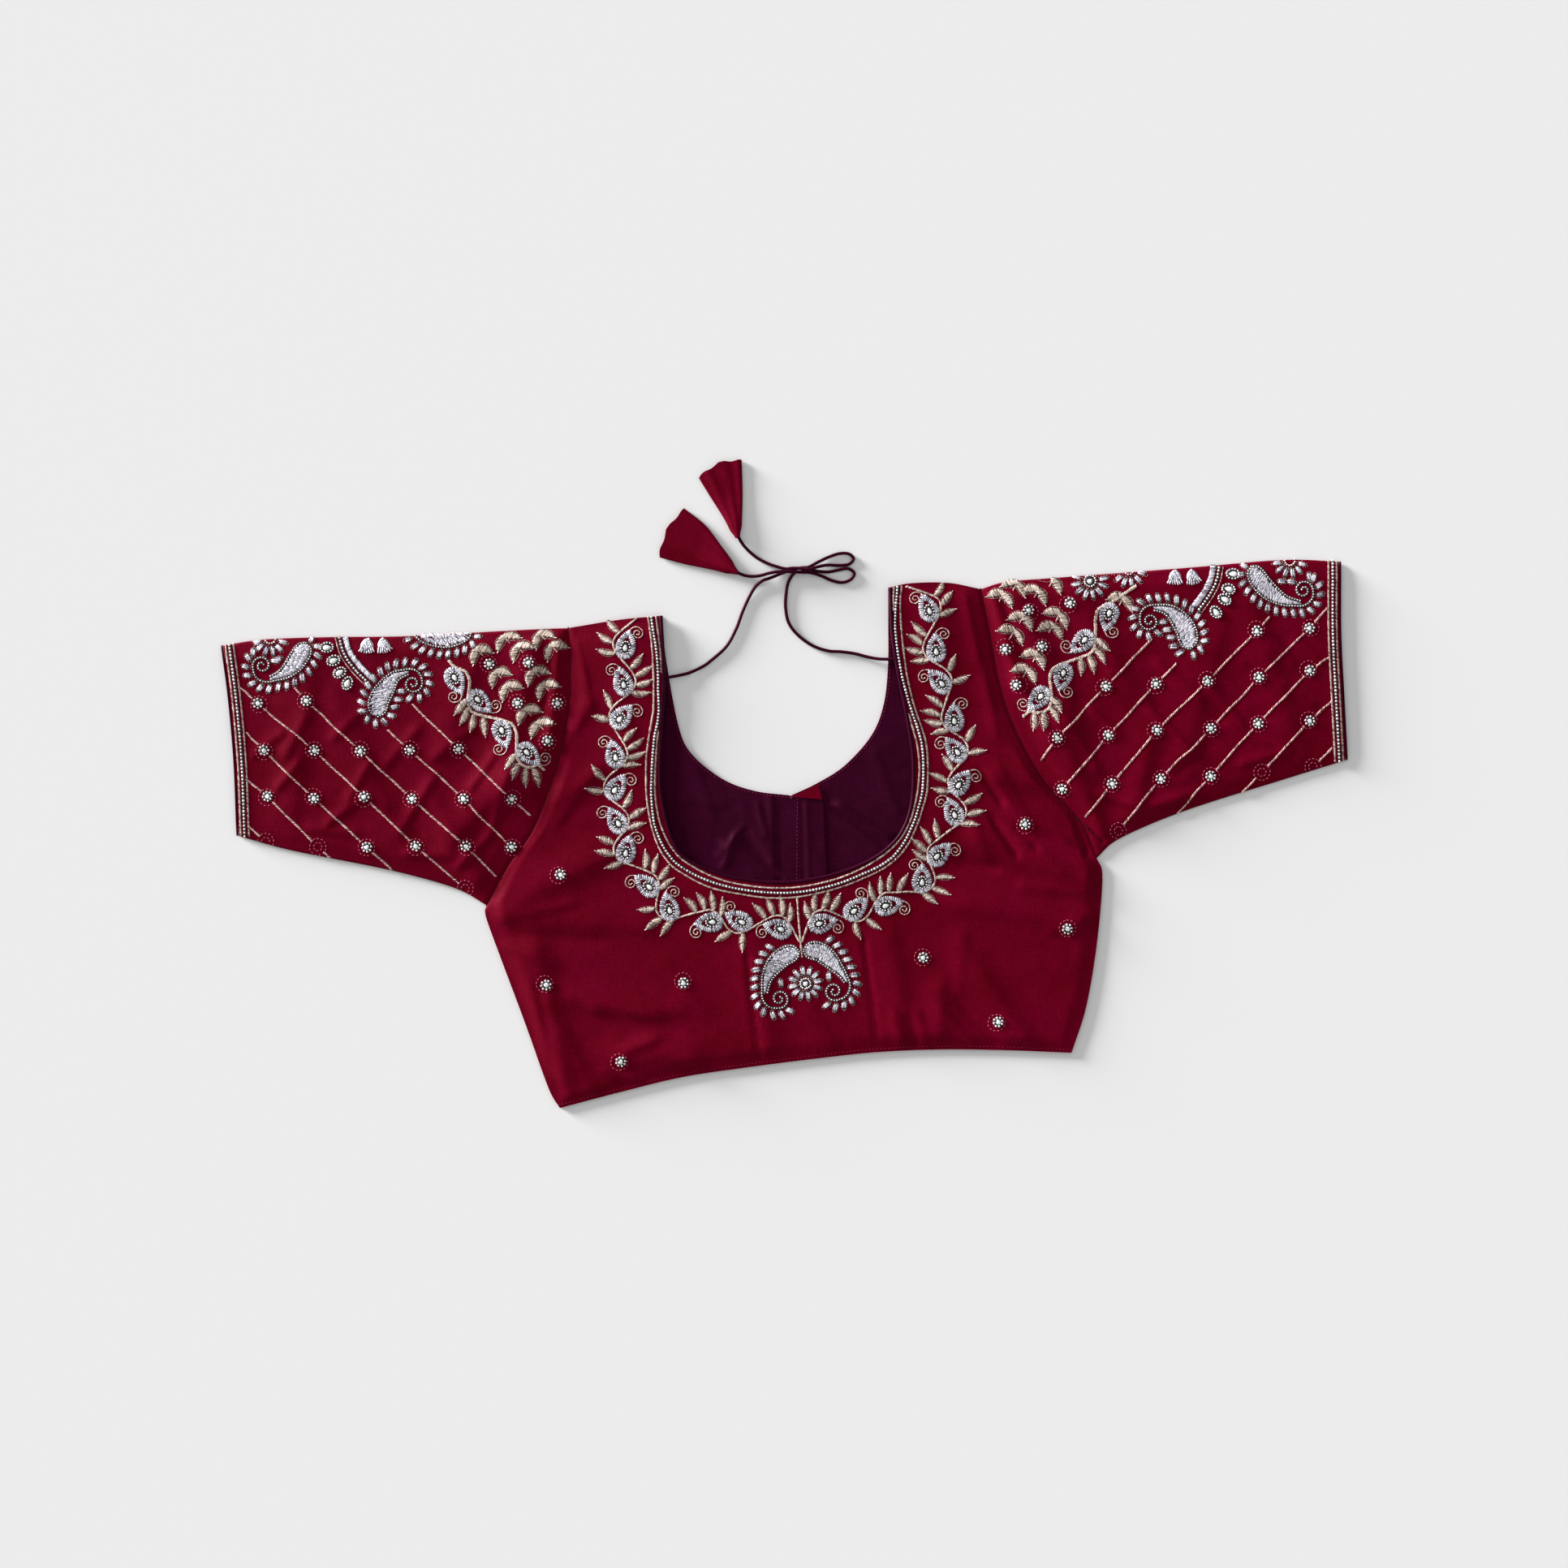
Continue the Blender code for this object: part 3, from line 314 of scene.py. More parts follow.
# Diagonal rows of stones joined by couched lines. Marks: 0 end of a line, 1 stone, 2 bare circle
LATTICE = {
    "left": [
        [(-402, 150, 0), (-390, 137, 1), (-352, 98, 1), (-319, 60, 1), (-285, 20, 1),
         (-252, -15, 2)],
        [(-361, 145, 0), (-354, 135, 1), (-318, 94, 1), (-284, 55, 1), (-248, 16, 1),
         (-229, -8, 0)],
        [(-400, 116, 0), (-389, 102, 1), (-356, 63, 1), (-321, 23, 1), (-300, -1, 0)],
        [(-404, 82, 0), (-390, 68, 1), (-357, 27, 2), (-342, 11, 0)],
        [(-406, 47, 0), (-395, 35, 2)],
        [(-296, 107, 0), (-282, 91, 1), (-246, 51, 1), (-215, 12, 1)],
        [(-276, 124, 0), (-246, 88, 1), (-211, 47, 1), (-199, 34, 0)],
    ],
    "right": [
        [(402, 124, 0), (388, 111, 1), (347, 79, 1), (308, 45, 1), (267, 12, 1), (232, -23, 2)],
        [(359, 122, 0), (349, 113, 1), (309, 80, 1), (268, 48, 1), (231, 12, 1), (209, -10, 0)],
        [(287, 95, 0), (271, 82, 1), (232, 48, 1), (194, 12, 1)],
        [(271, 115, 0), (234, 84, 1), (194, 50, 1), (181, 35, 0)],
        [(400, 88, 0), (385, 80, 1), (343, 45, 1), (304, 10, 1), (274, -17, 0)],
        [(398, 55, 0), (381, 43, 1), (342, 9, 2), (326, -4, 0)],
        [(395, 21, 0), (380, 9, 2), (370, 0, 0)],
    ],
}
# Single stones, each in a circle of running stitches
BUTTIS = {
    "neck": [(-181, -12), (-200, -92), (-99, -101), (-151, -154), (79, -101), (129, -154),
             (187, -91), (164, -11)],
    "left": [(-217, 148), (-188, 146), (-199, 117), (-170, 114), (-180, 87)],
    "right": [(183, 146), (214, 148), (163, 119), (190, 118), (168, 92)],
}
# Pairs of leaves between the buttis, by the point where the two meet
SPRAYS = {
    "left": [(-225, 161), (-204, 168), (-195, 160), (-178, 168), (-170, 158), (-213, 143),
             (-185, 141), (-206, 132), (-179, 130), (-194, 113), (-186, 102)],
    "right": [(166, 161), (177, 168), (192, 161), (204, 168), (179, 143), (206, 142),
              (171, 133), (200, 134), (186, 114), (178, 104), (254, 149)],
}
# The stem between the neck's two vines, and sewing: its seam beside the hook strip and its
# distance in from the edges
NECK_STEM = [(-9, -47), (-9.6, -66), (-10, -91)]
STRIP_SEAM = [(-1.0, 27.0), (-4.5, -5.0), (-8.0, -36.0)]
HEM_SEWING_IN = 2.4
LINING_SEWING_IN = 1.6
BEAD_PITCH = {"neck": 2.4, "cuff": 2.6}

# Tie cords, as part.py lays them: a twisted stem of four strands with two loops and two tails
STEM = {"x0": -10.0, "x1": 25.0, "y0": 190.2, "y1": 192.6, "bow": 1.6, "z": 3.35, "radius": 2.05,
        "turn_per_mm": 5.0}
DORI_LEFT_IN = [(-88.3, 124.3, 5.0), (-79, 125.0, 3.9), (-70.9, 126.2, 2.2), (-62, 129.2, 1.35),
                (-54.5, 133.2, 1.3), (-41.7, 142.6, 1.3), (-33.2, 154.6, 1.3),
                (-27.0, 167.0, 1.3), (-21.5, 176.5, 1.4), (-15.8, 184.2, 2.3)]
LOOP_UPPER = [(31.8, 197.4, 2.6), (39.5, 200.2, 1.4), (48.0, 202.2, 1.3), (55.2, 201.4, 1.3),
              (58.6, 197.4, 1.3), (54.6, 193.7, 1.3), (47.0, 193.6, 1.4), (39.0, 194.7, 2.0),
              (31.5, 194.0, 4.0)]
TAIL_UPPER = [(2.6, 197.0, 3.2), (-5.0, 200.6, 2.0), (-12.6, 205.8, 1.5), (-19.4, 213.2, 1.9),
              (-23.6, 220.4, 2.7), (-26.0, 228.5, 2.9)]
DORI_RIGHT_IN = [(80.2, 120.4, 5.0), (70, 121.6, 3.9), (61, 124.2, 2.2), (52, 127.6, 1.35),
                 (42, 130.0, 1.3), (33.0, 131.6, 1.3), (21.9, 136.6, 1.3), (12.0, 145.4, 1.3),
                 (6.0, 155.4, 1.3), (4.9, 167.0, 1.3), (6.4, 177.0, 1.3), (9.0, 185.4, 1.8)]
LOOP_LOWER = [(31.5, 190.9, 1.3), (39.0, 189.6, 1.3), (46.5, 190.2, 1.3), (53.6, 190.6, 1.3),
              (58.0, 186.8, 1.3), (55.0, 182.4, 1.3), (48.5, 180.8, 1.3), (41.5, 182.8, 1.4),
              (35.0, 186.4, 1.9), (30.2, 188.8, 2.7)]
TAIL_LOWER = [(-15.4, 192.0, 2.7), (-21.8, 193.1, 2.8), (-27.8, 196.1, 2.9), (-34.2, 201.0, 2.9)]
RIGHT_ENTRY_X = 8.0

TASSEL_WALL = 0.8
TASSEL_PINCH = 0.36
TASSEL_PLEAT = 0.35
TASSEL_END_WAVE = 0.9
TASSEL_NECK_HEIGHT = 5.8
TASSEL_END_HEIGHT = 3.4
TASSEL_END_BOW = 5.0
TASSELS = {
    "upper": {"left": [(-27.7, 221.0), (-33.5, 236.6), (-42.0, 254.0), (-48.8, 268.2)],
              "right": [(-22.0, 222.4), (-19.6, 239.0), (-17.5, 256.0), (-15.8, 277.8)]},
    "lower": {"left": [(-28.8, 193.4), (-46.0, 200.0), (-66.0, 206.4), (-83.4, 213.0)],
              "right": [(-26.8, 198.9), (-36.8, 216.0), (-47.0, 232.8), (-61.2, 247.0)]},
}

# The photo's frame: real width, and the place of its middle on the blouse, which it shows turned
PHOTO_WIDTH = 1159.2
PHOTO_MIDDLE = (-9.9, 37.2)
PHOTO_TURN = 6.0
CAMERA_HEIGHT = 3.0

# Floor in metres, and light that gives the photo's shadows, its width and turns in degrees
FLOOR_REACH = 6.0
FLOOR_DROP = 0.0002
SKY_STRENGTH = 0.731
SUN_STRENGTH = 10.86
SUN_WIDTH = 21.0
SUN_TILT = -82.4
SUN_TURN = -37.0


# Curves and grids

def reach(line):
    """Distance run along a line at each of its points."""
    return np.r_[0.0, np.cumsum(np.linalg.norm(np.diff(line, axis=0), axis=1))]


def at_distance(line, wanted):
    """Points at the wanted distances along a line."""
    run = reach(line)
    return np.stack([np.interp(wanted, run, line[:, axis]) for axis in range(line.shape[1])], -1)


def even_points(line, count):
    return at_distance(line, np.linspace(0, reach(line)[-1], count + 1))


def smooth_curve(points, count):
    """Evenly spaced points of a smooth curve through the given points."""
    points = np.array(points, float)
    ends = np.vstack([2 * points[0] - points[1], points, 2 * points[-1] - points[-2]])
    t = (np.arange(24) / 24)[:, None]
    fine = [b + (c - a) * t / 2 + (2 * a - 5 * b + 4 * c - d) * t ** 2 / 2
            + (3 * b - 3 * c + d - a) * t ** 3 / 2
            for a, b, c, d in zip(ends, ends[1:], ends[2:], ends[3:])]
    return even_points(np.vstack(fine + [points[-1:]]), count)


def directions(line):
    """Unit direction at each point of a flat line."""
    step = np.gradient(line, axis=0)
    return step / np.linalg.norm(step, axis=1)[:, None]


def lefts(ways):
    """Flat directions turned a quarter to their left."""
    return np.stack([-ways[:, 1], ways[:, 0]], -1)


def sideways(line, distance):
    """A flat line moved to its left by a distance, one for all points or one for each."""
    return line + lefts(directions(line)) * np.reshape(distance, (-1, 1))


def ease(value):
    value = np.clip(value, 0.0, 1.0)
    return value * value * (3 - 2 * value)


def patch(inner, outer, start, end, shares):
    """Fills four edges with a grid of columns that run from inner to outer."""
    u = np.linspace(0, 1, len(inner))[:, None, None]
    v = shares[None, :, None]
    grid = inner[:, None] * (1 - v) + outer[:, None] * v
    for edge, weight in ((start, 1 - u), (end, u)):
        bow = at_distance(edge, shares * reach(edge)[-1])[None]
        bow = bow - (edge[0] * (1 - v) + edge[-1] * v)
        grid = grid + bow * weight
    return grid


def ridges(x, y, rows):
    """Height of soft ridges along given lines, steeper on the side away from the window."""
    height = np.zeros(np.shape(x))
    for x0, y0, x1, y1, width, tall in rows:
        along = np.array([x1 - x0, y1 - y0], float)
        length = np.linalg.norm(along)
        along /= length
        run = (x - x0) * along[0] + (y - y0) * along[1]
        across = np.array([-along[1], along[0]])
        if across @ TO_WINDOW < 0:
            across = -across
        off = (x - x0) * across[0] + (y - y0) * across[1]
        wide = np.where((off > 0) == (tall > 0), LIT_WIDTH, SHADED_WIDTH) * width
        beyond = np.maximum(np.maximum(-run, run - length), 0)
        height = height + tall * np.exp(-(off / wide) ** 2 - (beyond / (1.6 * width)) ** 2)
    return height


def undulation(x, y, seed, longest, shortest):
    """A gentle random unevenness of about one unit made of crossing waves."""
    chance = np.random.default_rng(seed)
    waves = 14
    total = np.zeros_like(x)
    for _ in range(waves):
        length = longest * (shortest / longest) ** chance.random()
        turn, shift = chance.random(2) * 2 * math.pi
        total += (length / longest) ** 0.8 * np.sin(
            2 * math.pi / length * (x * math.cos(turn) + y * math.sin(turn)) + shift)
    return total / math.sqrt(waves)


# Materials

def linear(text):
    """Turns an sRGB hex colour into the linear values that a shader takes."""
    values = [int(text[at:at + 2], 16) / 255 for at in (1, 3, 5)]
    return [v / 12.92 if v <= 0.04045 else ((v + 0.055) / 1.055) ** 2.4 for v in values] + [1.0]


def add_node(tree, kind, inputs=None, **settings):
    """Adds a node with its settings, and sets or links its inputs by name or number."""
    made = tree.nodes.new(kind)
    for name, value in settings.items():
        setattr(made, name, value)
    for key, value in (inputs or {}).items():
        if isinstance(value, bpy.types.NodeSocket):
            tree.links.new(value, made.inputs[key])
        else:
            made.inputs[key].default_value = value
    return made


def new_material(name, **values):
    """A Principled material with plain values on its own sockets."""
    made = bpy.data.materials.new(name)
    made.use_nodes = True
    shader = made.node_tree.nodes["Principled BSDF"]
    for key, value in values.items():
        shader.inputs[key.replace("_", " ")].default_value = value
    return made, made.node_tree, shader


def bump(tree, shader, height, distance_mm):
    made = add_node(tree, "ShaderNodeBump",
                    {"Height": height, "Distance": distance_mm * MM, "Strength": 1.0})
    tree.links.new(made.outputs["Normal"], shader.inputs["Normal"])


def maths(tree, operation, *values):
    made = add_node(tree, "ShaderNodeMath", dict(enumerate(values)), operation=operation)
    return made.outputs[0]


def colour_ramp(tree, shader, value, *stops):
    """Colours a shader by a value, through stops of a position and an sRGB hex colour each."""
    ramp = add_node(tree, "ShaderNodeValToRGB", {"Fac": value})
    for element, (position, colour) in zip(ramp.color_ramp.elements, (stops[0], stops[-1])):
        element.position = position
        element.color = linear(colour)
    for position, colour in stops[1:-1]:
        ramp.color_ramp.elements.new(position).color = linear(colour)
    tree.links.new(ramp.outputs["Color"], shader.inputs["Base Color"])


def speckled(name, scale, detail, *stops, **values):
    """A material coloured by fine noise over the object's own place."""
    made, tree, shader = new_material(name, **values)
    place = add_node(tree, "ShaderNodeTexCoord").outputs["Object"]
    tone = add_node(tree, "ShaderNodeTexNoise", {
        "Vector": place, "Scale": scale, "Detail": detail})
    colour_ramp(tree, shader, tone.outputs["Fac"], *stops)
    return made


def diagonal_grain(tree, shader, scale, distortion, depth_mm):
    place = add_node(tree, "ShaderNodeTexCoord").outputs["Object"]
    grain = add_node(tree, "ShaderNodeTexWave", {
        "Vector": place, "Scale": scale, "Distortion": distortion}, bands_direction="DIAGONAL")
    bump(tree, shader, grain.outputs["Fac"], depth_mm)


# A wave texture of scale 1 makes this many waves in one metre
TEXTURE_WAVES = 20 / (2 * math.pi)


def cloth_material(name, dark, middle, light, thread_mm, slub_mm, relief_mm, **values):
    """Woven cloth: two sets of threads, thick and thin places along them, and a soft mottle."""
    made, tree, shader = new_material(name, **values)
    place = add_node(tree, "ShaderNodeUVMap", uv_map="weave").outputs["UV"]
    threads, slubs = [], []
    for turn in (0.0, math.pi / 2):
        spun = add_node(tree, "ShaderNodeMapping", {
            "Vector": place, "Rotation": (0, 0, turn)}).outputs["Vector"]
        thread = add_node(tree, "ShaderNodeTexWave", {
            "Vector": spun, "Scale": 1 / (thread_mm * MM) / TEXTURE_WAVES,
            "Distortion": 0.6, "Detail": 1.0, "Detail Scale": 2.0}, wave_profile="SIN")
        long_way = add_node(tree, "ShaderNodeMapping", {
            "Vector": spun, "Scale": (1 / (thread_mm * 1.6 * MM), 1 / (slub_mm * MM), 1.0)})
        slubs.append(add_node(tree, "ShaderNodeTexNoise", {
            "Vector": long_way.outputs["Vector"], "Scale": 1.0, "Detail": 2.0,
            "Roughness": 0.6}, noise_dimensions="2D").outputs["Fac"])
        threads.append(maths(tree, "MULTIPLY", thread.outputs["Fac"], slubs[-1]))
    cloud = add_node(tree, "ShaderNodeTexNoise", {
        "Vector": place, "Scale": 22.0, "Detail": 3.0, "Roughness": 0.55}, noise_dimensions="2D")
    both = maths(tree, "ADD", *slubs)
    tone = maths(tree, "MULTIPLY_ADD", both, 0.42, -0.02)
    mixed = maths(tree, "MULTIPLY_ADD", cloud.outputs["Fac"], 0.35, tone)
    colour_ramp(tree, shader, mixed, (0.38, dark), (0.58, middle), (0.82, light))
    relief = maths(tree, "MULTIPLY_ADD", both, 0.8, maths(tree, "ADD", *threads))
    bump(tree, shader, relief, relief_mm)
    return made


def raw_silk():
    # Raw silk dyed crimson, plain woven: matt, faintly ribbed by thick and thin threads, with a
    # rosy sheen at grazing angles. Threads are drawn 0.7 mm apart, coarser than real, to show.
    return cloth_material("crimson_raw_silk", "#54000f", "#5f0018", "#6b0122", 0.7, 9.0, 0.05,
                          Roughness=0.6, Sheen_Weight=0.15, Sheen_Roughness=0.4,
                          Sheen_Tint=linear("#a0082c"), Specular_IOR_Level=0.22,
                          Specular_Tint=linear("#d01040"))


def lining_cloth():
    # Plain woven cotton lining, dyed aubergine: flat, dark and smooth, with hardly any weave.
    return cloth_material("aubergine_cotton_lining", "#270110", "#2f0319", "#3a0523", 0.6, 14.0,
                          0.02, Roughness=0.55, Sheen_Weight=0.15, Sheen_Roughness=0.4,
                          Sheen_Tint=linear("#601040"), Specular_IOR_Level=0.5,
                          Specular_Tint=linear("#701048"))


def bias_piping():
    # Satin cut on the bias and rolled over a cord: smooth, dark and softly glossy along its top.
    made = speckled("dark_satin_piping", 120.0, 3.0, (0.0, "#1c020d"), (1.0, "#38041e"),
                    Roughness=0.45, Specular_IOR_Level=0.4, Specular_Tint=linear("#8a2050"))
    tree = made.node_tree
    diagonal_grain(tree, tree.nodes["Principled BSDF"], 260.0, 1.5, 0.05)
    return made


def metal_thread(name, dark, light, roughness):
    # Metallised thread wrapped on a silk core and worked by hand: bright strands with dark gaps,
    # so each strand is shaded from end to end and its colour changes a little from the next.
    made, tree, shader = new_material(name, Metallic=0.55, Roughness=roughness)
    place = add_node(tree, "ShaderNodeTexCoord").outputs["Object"]
    spots = add_node(tree, "ShaderNodeTexNoise", {
        "Vector": place, "Scale": 900.0, "Detail": 2.0, "Roughness": 0.7})
    strand = add_node(tree, "ShaderNodeAttribute", attribute_name="tone")
    mixed = maths(tree, "MULTIPLY_ADD", strand.outputs["Fac"], 0.55, spots.outputs["Fac"])
    colour_ramp(tree, shader, mixed, (0.45, dark), (0.85, light))
    diagonal_grain(tree, shader, 420.0, 2.0, 0.08)
    return made


def silver_lined_glass():
    # Silver lined glass seed beads: a dark edge round a bright highlight.
    return speckled("silver_lined_glass_beads", 350.0, 1.0, (0.35, "#b5b2af"), (0.6, "#e2e0de"),
                    Metallic=0.15, Roughness=0.2, Coat_Weight=0.7, Coat_Roughness=0.06)


def foiled_stone():
    # Cut glass stone with foil behind it: flat facets, some mirror bright and some dark.
    made, tree, shader = new_material("foil_backed_cut_glass", Metallic=0.1, Roughness=0.12,
                                      Coat_Weight=1.0, Coat_Roughness=0.03)
    place = add_node(tree, "ShaderNodeTexCoord").outputs["Object"]
    tone = add_node(tree, "ShaderNodeTexVoronoi", {"Vector": place, "Scale": 700.0})
    colour_ramp(tree, shader, tone.outputs["Distance"], (0.0, "#ffffff"), (0.9, "#d9dcdd"))
    return made


def cotton_thread(name, dark, light):
    # Cotton thread, matt: pink for running stitches round the stones and crimson for seams.
    # In near black crimson it is laid along the ditch of a seam as painted shade.
    return speckled(name, 500.0, 2.0, (0.0, dark), (1.0, light), Roughness=0.7,
                    Specular_IOR_Level=0.1)


def thread_with_painted_shade():
    # Dark waxed thread that beads are sewn with, also laid as patches under the stitches: the near
    # black line round and between them is part thread and part painted shade.
    return speckled("near_black_thread_and_painted_shade", 700.0, 2.0, (0.0, "#1d1215"), (1.0, "#43343a"),
                    Roughness=0.8)


# Meshes

SHARP_ANGLE = 60.0


def outward(points, faces):
    """Turns a closed shell's faces round if they enclose a negative volume."""
    a, b, c, d = (points[faces[:, at]] for at in range(4))
    volume = np.einsum("ij,ij->", a, np.cross(b, c)) + np.einsum("ij,ij->", a, np.cross(c, d))
    return faces if volume > 0 else faces[:, ::-1]


def add_object(name, data):
    made = bpy.data.objects.new(name, data)
    bpy.context.scene.collection.objects.link(made)
    return made


def add_mesh(name, points, faces, look):
    """Makes one smooth object of points in millimetres."""
    mesh = bpy.data.meshes.new(name)
    mesh.from_pydata((points * MM).tolist(), [], faces.tolist())
    mesh.shade_smooth()
    mesh.set_sharp_from_angle(angle=math.radians(SHARP_ANGLE))
    mesh.materials.append(look)
    return add_object(name, mesh)


def vertex_places(mesh):
    places = np.empty(len(mesh.vertices) * 3)
    mesh.vertices.foreach_get("co", places)
    return places.reshape(-1, 3)


def add_weave_map(piece, turn_degrees):
    """Lays the weave over a piece as seen from above, turned to follow its grain."""
    mesh = piece.data
    turn = math.radians(turn_degrees)
    places = vertex_places(mesh)
    u = places[:, 0] * math.cos(turn) + places[:, 1] * math.sin(turn)
    v = -places[:, 0] * math.sin(turn) + places[:, 1] * math.cos(turn) + places[:, 2]
    loops = np.empty(len(mesh.loops), int)
    mesh.loops.foreach_get("vertex_index", loops)
    layer = mesh.uv_layers.new(name="weave")
    layer.data.foreach_set("uv", np.stack([u[loops], v[loops]], -1).ravel())


def edge_loop(grid):
    """What lies round the rim of a grid, in order and once each."""
    return np.concatenate([grid[0], grid[1:, -1], grid[-1, -2::-1], grid[-2:0:-1, 0]])


def cloth_sheet(name, tops, wall, look):
    """A closed sheet of cloth from a grid of top points, thickened downwards."""
    columns, rows = tops.shape[:2]
    points = tops.reshape(-1, 3)
    count = len(points)
    at = np.arange(count).reshape(columns, rows)
    upper = np.stack([at[:-1, :-1], at[1:, :-1], at[1:, 1:], at[:-1, 1:]], -1).reshape(-1, 4)
    rim = edge_loop(at)
    after = np.roll(rim, -1)
    walls = np.stack([rim, after, after + count, rim + count], -1)
    points = np.vstack([points, points - (0, 0, wall)])
    faces = np.vstack([upper, upper[:, ::-1] + count, walls])
    made = add_mesh(name, points, outward(points, faces), look)
    add_weave_map(made, 0.0)
    return made


def tube_sheet(name, outer, inner, look, turn):
    """An open tube of cloth from rings of outer points and rings of inner points."""
    rings, size = outer.shape[:2]
    at = np.arange(rings * size).reshape(rings, size)
    turned = np.roll(at, -1, axis=1)
    skin = np.stack([at[:-1], turned[:-1], turned[1:], at[1:]], -1).reshape(-1, 4)
    shift = rings * size
    ends = [np.stack([at[0], at[0] + shift, turned[0] + shift, turned[0]], -1),
            np.stack([at[-1], turned[-1], turned[-1] + shift, at[-1] + shift], -1)]
    points = np.vstack([outer.reshape(-1, 3), inner.reshape(-1, 3)])
    faces = np.vstack([skin, skin[:, ::-1] + shift] + ends)
    made = add_mesh(name, points, outward(points, faces), look)
    add_weave_map(made, turn)
    return made


def round_tube(name, line, diameter, look, closed=False, sides=12):
    """A round mesh tube along a line of points, its ends closed unless the line is a ring."""
    line = np.asarray(line, float)
    if closed:
        way = np.roll(line, -1, axis=0) - np.roll(line, 1, axis=0)
    else:
        way = np.gradient(line, axis=0)
    way /= np.linalg.norm(way, axis=1)[:, None]
    across = np.cross(way, (0, 0, 1.0))
    across /= np.linalg.norm(across, axis=1)[:, None]
    up = np.cross(across, way)
    angles = np.arange(sides) * 2 * math.pi / sides
    points = (line[:, None] + across[:, None] * np.cos(angles)[None, :, None] * diameter / 2
              + up[:, None] * np.sin(angles)[None, :, None] * diameter / 2)
    at = np.arange(len(line) * sides).reshape(len(line), sides)
    if closed:
        at = np.vstack([at, at[:1]])
    turned = np.roll(at, -1, axis=1)
    faces = np.stack([at[:-1], turned[:-1], turned[1:], at[1:]], -1).reshape(-1, 4)
    points = points.reshape(-1, 3)
    made = add_mesh(name, points, outward(points, faces), look)
    if not closed:
        made.data = with_caps(made.data, [at[0].tolist(), at[-1].tolist()[::-1]])
    return made


def with_caps(mesh, rings):
    """Closes a tube's two ends with one face each."""
    work = bmesh.new()
    work.from_mesh(mesh)
    work.verts.ensure_lookup_table()
    for ring in rings:
        work.faces.new([work.verts[index] for index in ring])
    bmesh.ops.recalc_face_normals(work, faces=work.faces[:])
    work.to_mesh(mesh)
    work.free()
    return mesh


# The cloth's height above the table

def armhole_top(share):
    return SEAM_TOP + ARMHOLE_RISE * np.sin(math.pi * share)


def back_tops():
    """Top points of the back on a fine grid, and its neck edge."""
    armhole, side, hem = BACK_STEPS["armhole"], BACK_STEPS["side"], BACK_STEPS["hem"]
    left, right = smooth_curve(ARMHOLE_LEFT, armhole), smooth_curve(ARMHOLE_RIGHT, armhole)
    outer = np.vstack([left, smooth_curve(SIDE_LEFT, side)[1:], smooth_curve(HEM, hem)[1:],
                       smooth_curve(SIDE_RIGHT, side)[::-1][1:], right[::-1][1:]])
    shares = np.r_[np.linspace(0, 0.30, armhole + 1), np.linspace(0.30, 0.40, side + 1)[1:],
                   np.linspace(0.40, 0.60, hem + 1)[1:], np.linspace(0.60, 0.70, side + 1)[1:],
                   np.linspace(0.70, 1.0, armhole + 1)[1:]]
    neck = smooth_curve(NECK_BACK, len(outer) - 1)
    neck = at_distance(neck, shares * reach(neck)[-1])
    start, end = smooth_curve(SHOULDER_LEFT, 12), smooth_curve(SHOULDER_RIGHT, 12)
    start[-1], end[-1] = outer[0], outer[-1]
    grid = patch(neck, outer, start, end, np.linspace(0, 1, BACK_ROWS + 1))
    x, y = grid[..., 0], grid[..., 1]

    last = len(grid) - 1
    from_end = np.minimum(np.arange(last + 1), last - np.arange(last + 1))
    seam = np.where(from_end <= armhole, armhole_top(np.minimum(from_end, armhole) / armhole),
                    SEAM_TOP)[:, None]
    to_neck = np.linalg.norm(grid - grid[:, :1], axis=2)
    to_edge = np.linalg.norm(grid - grid[:, -1:], axis=2)
    shoulder = np.where(x < 0, SHOULDER_Y["left"], SHOULDER_Y["right"])
    to_shoulder = np.maximum(shoulder - y, 0)
    rolled = ease(to_edge / BACK_EDGE_ROLL) * ease(to_shoulder / BACK_EDGE_ROLL)
    lift = 1 - ease((to_neck - NECK_LIFT_NEAR) / (NECK_LIFT_FAR - NECK_LIFT_NEAR))
    lift = lift * ease((to_edge + 14) / 30)
    free = ease((to_neck - BORDER_END) / 14)
    z = SEAM_TOP + (seam - SEAM_TOP) * (1 - ease(to_edge / ARMHOLE_RISE_FADE))
    z = z + BACK_PUFF * rolled + NECK_LIFT * lift + ridges(x, y, BACK_FOLDS) * rolled * free
    z = z + BACK_CREASE_SHARE * ridges(x, y, BACK_CREASES) * ease(to_edge / 6) * free
    z = z + BACK_UNEVENNESS * undulation(x, y, 4, 70, 16) * rolled * (0.35 + 0.65 * free)
    at_armhole = np.where(from_end <= armhole, 1.0, 0.0)[:, None]
    z = z - SEAM_DIP * np.exp(-(to_edge / SEAM_DIP_WIDTH) ** 2) * at_armhole
    return np.dstack([grid, z]), neck


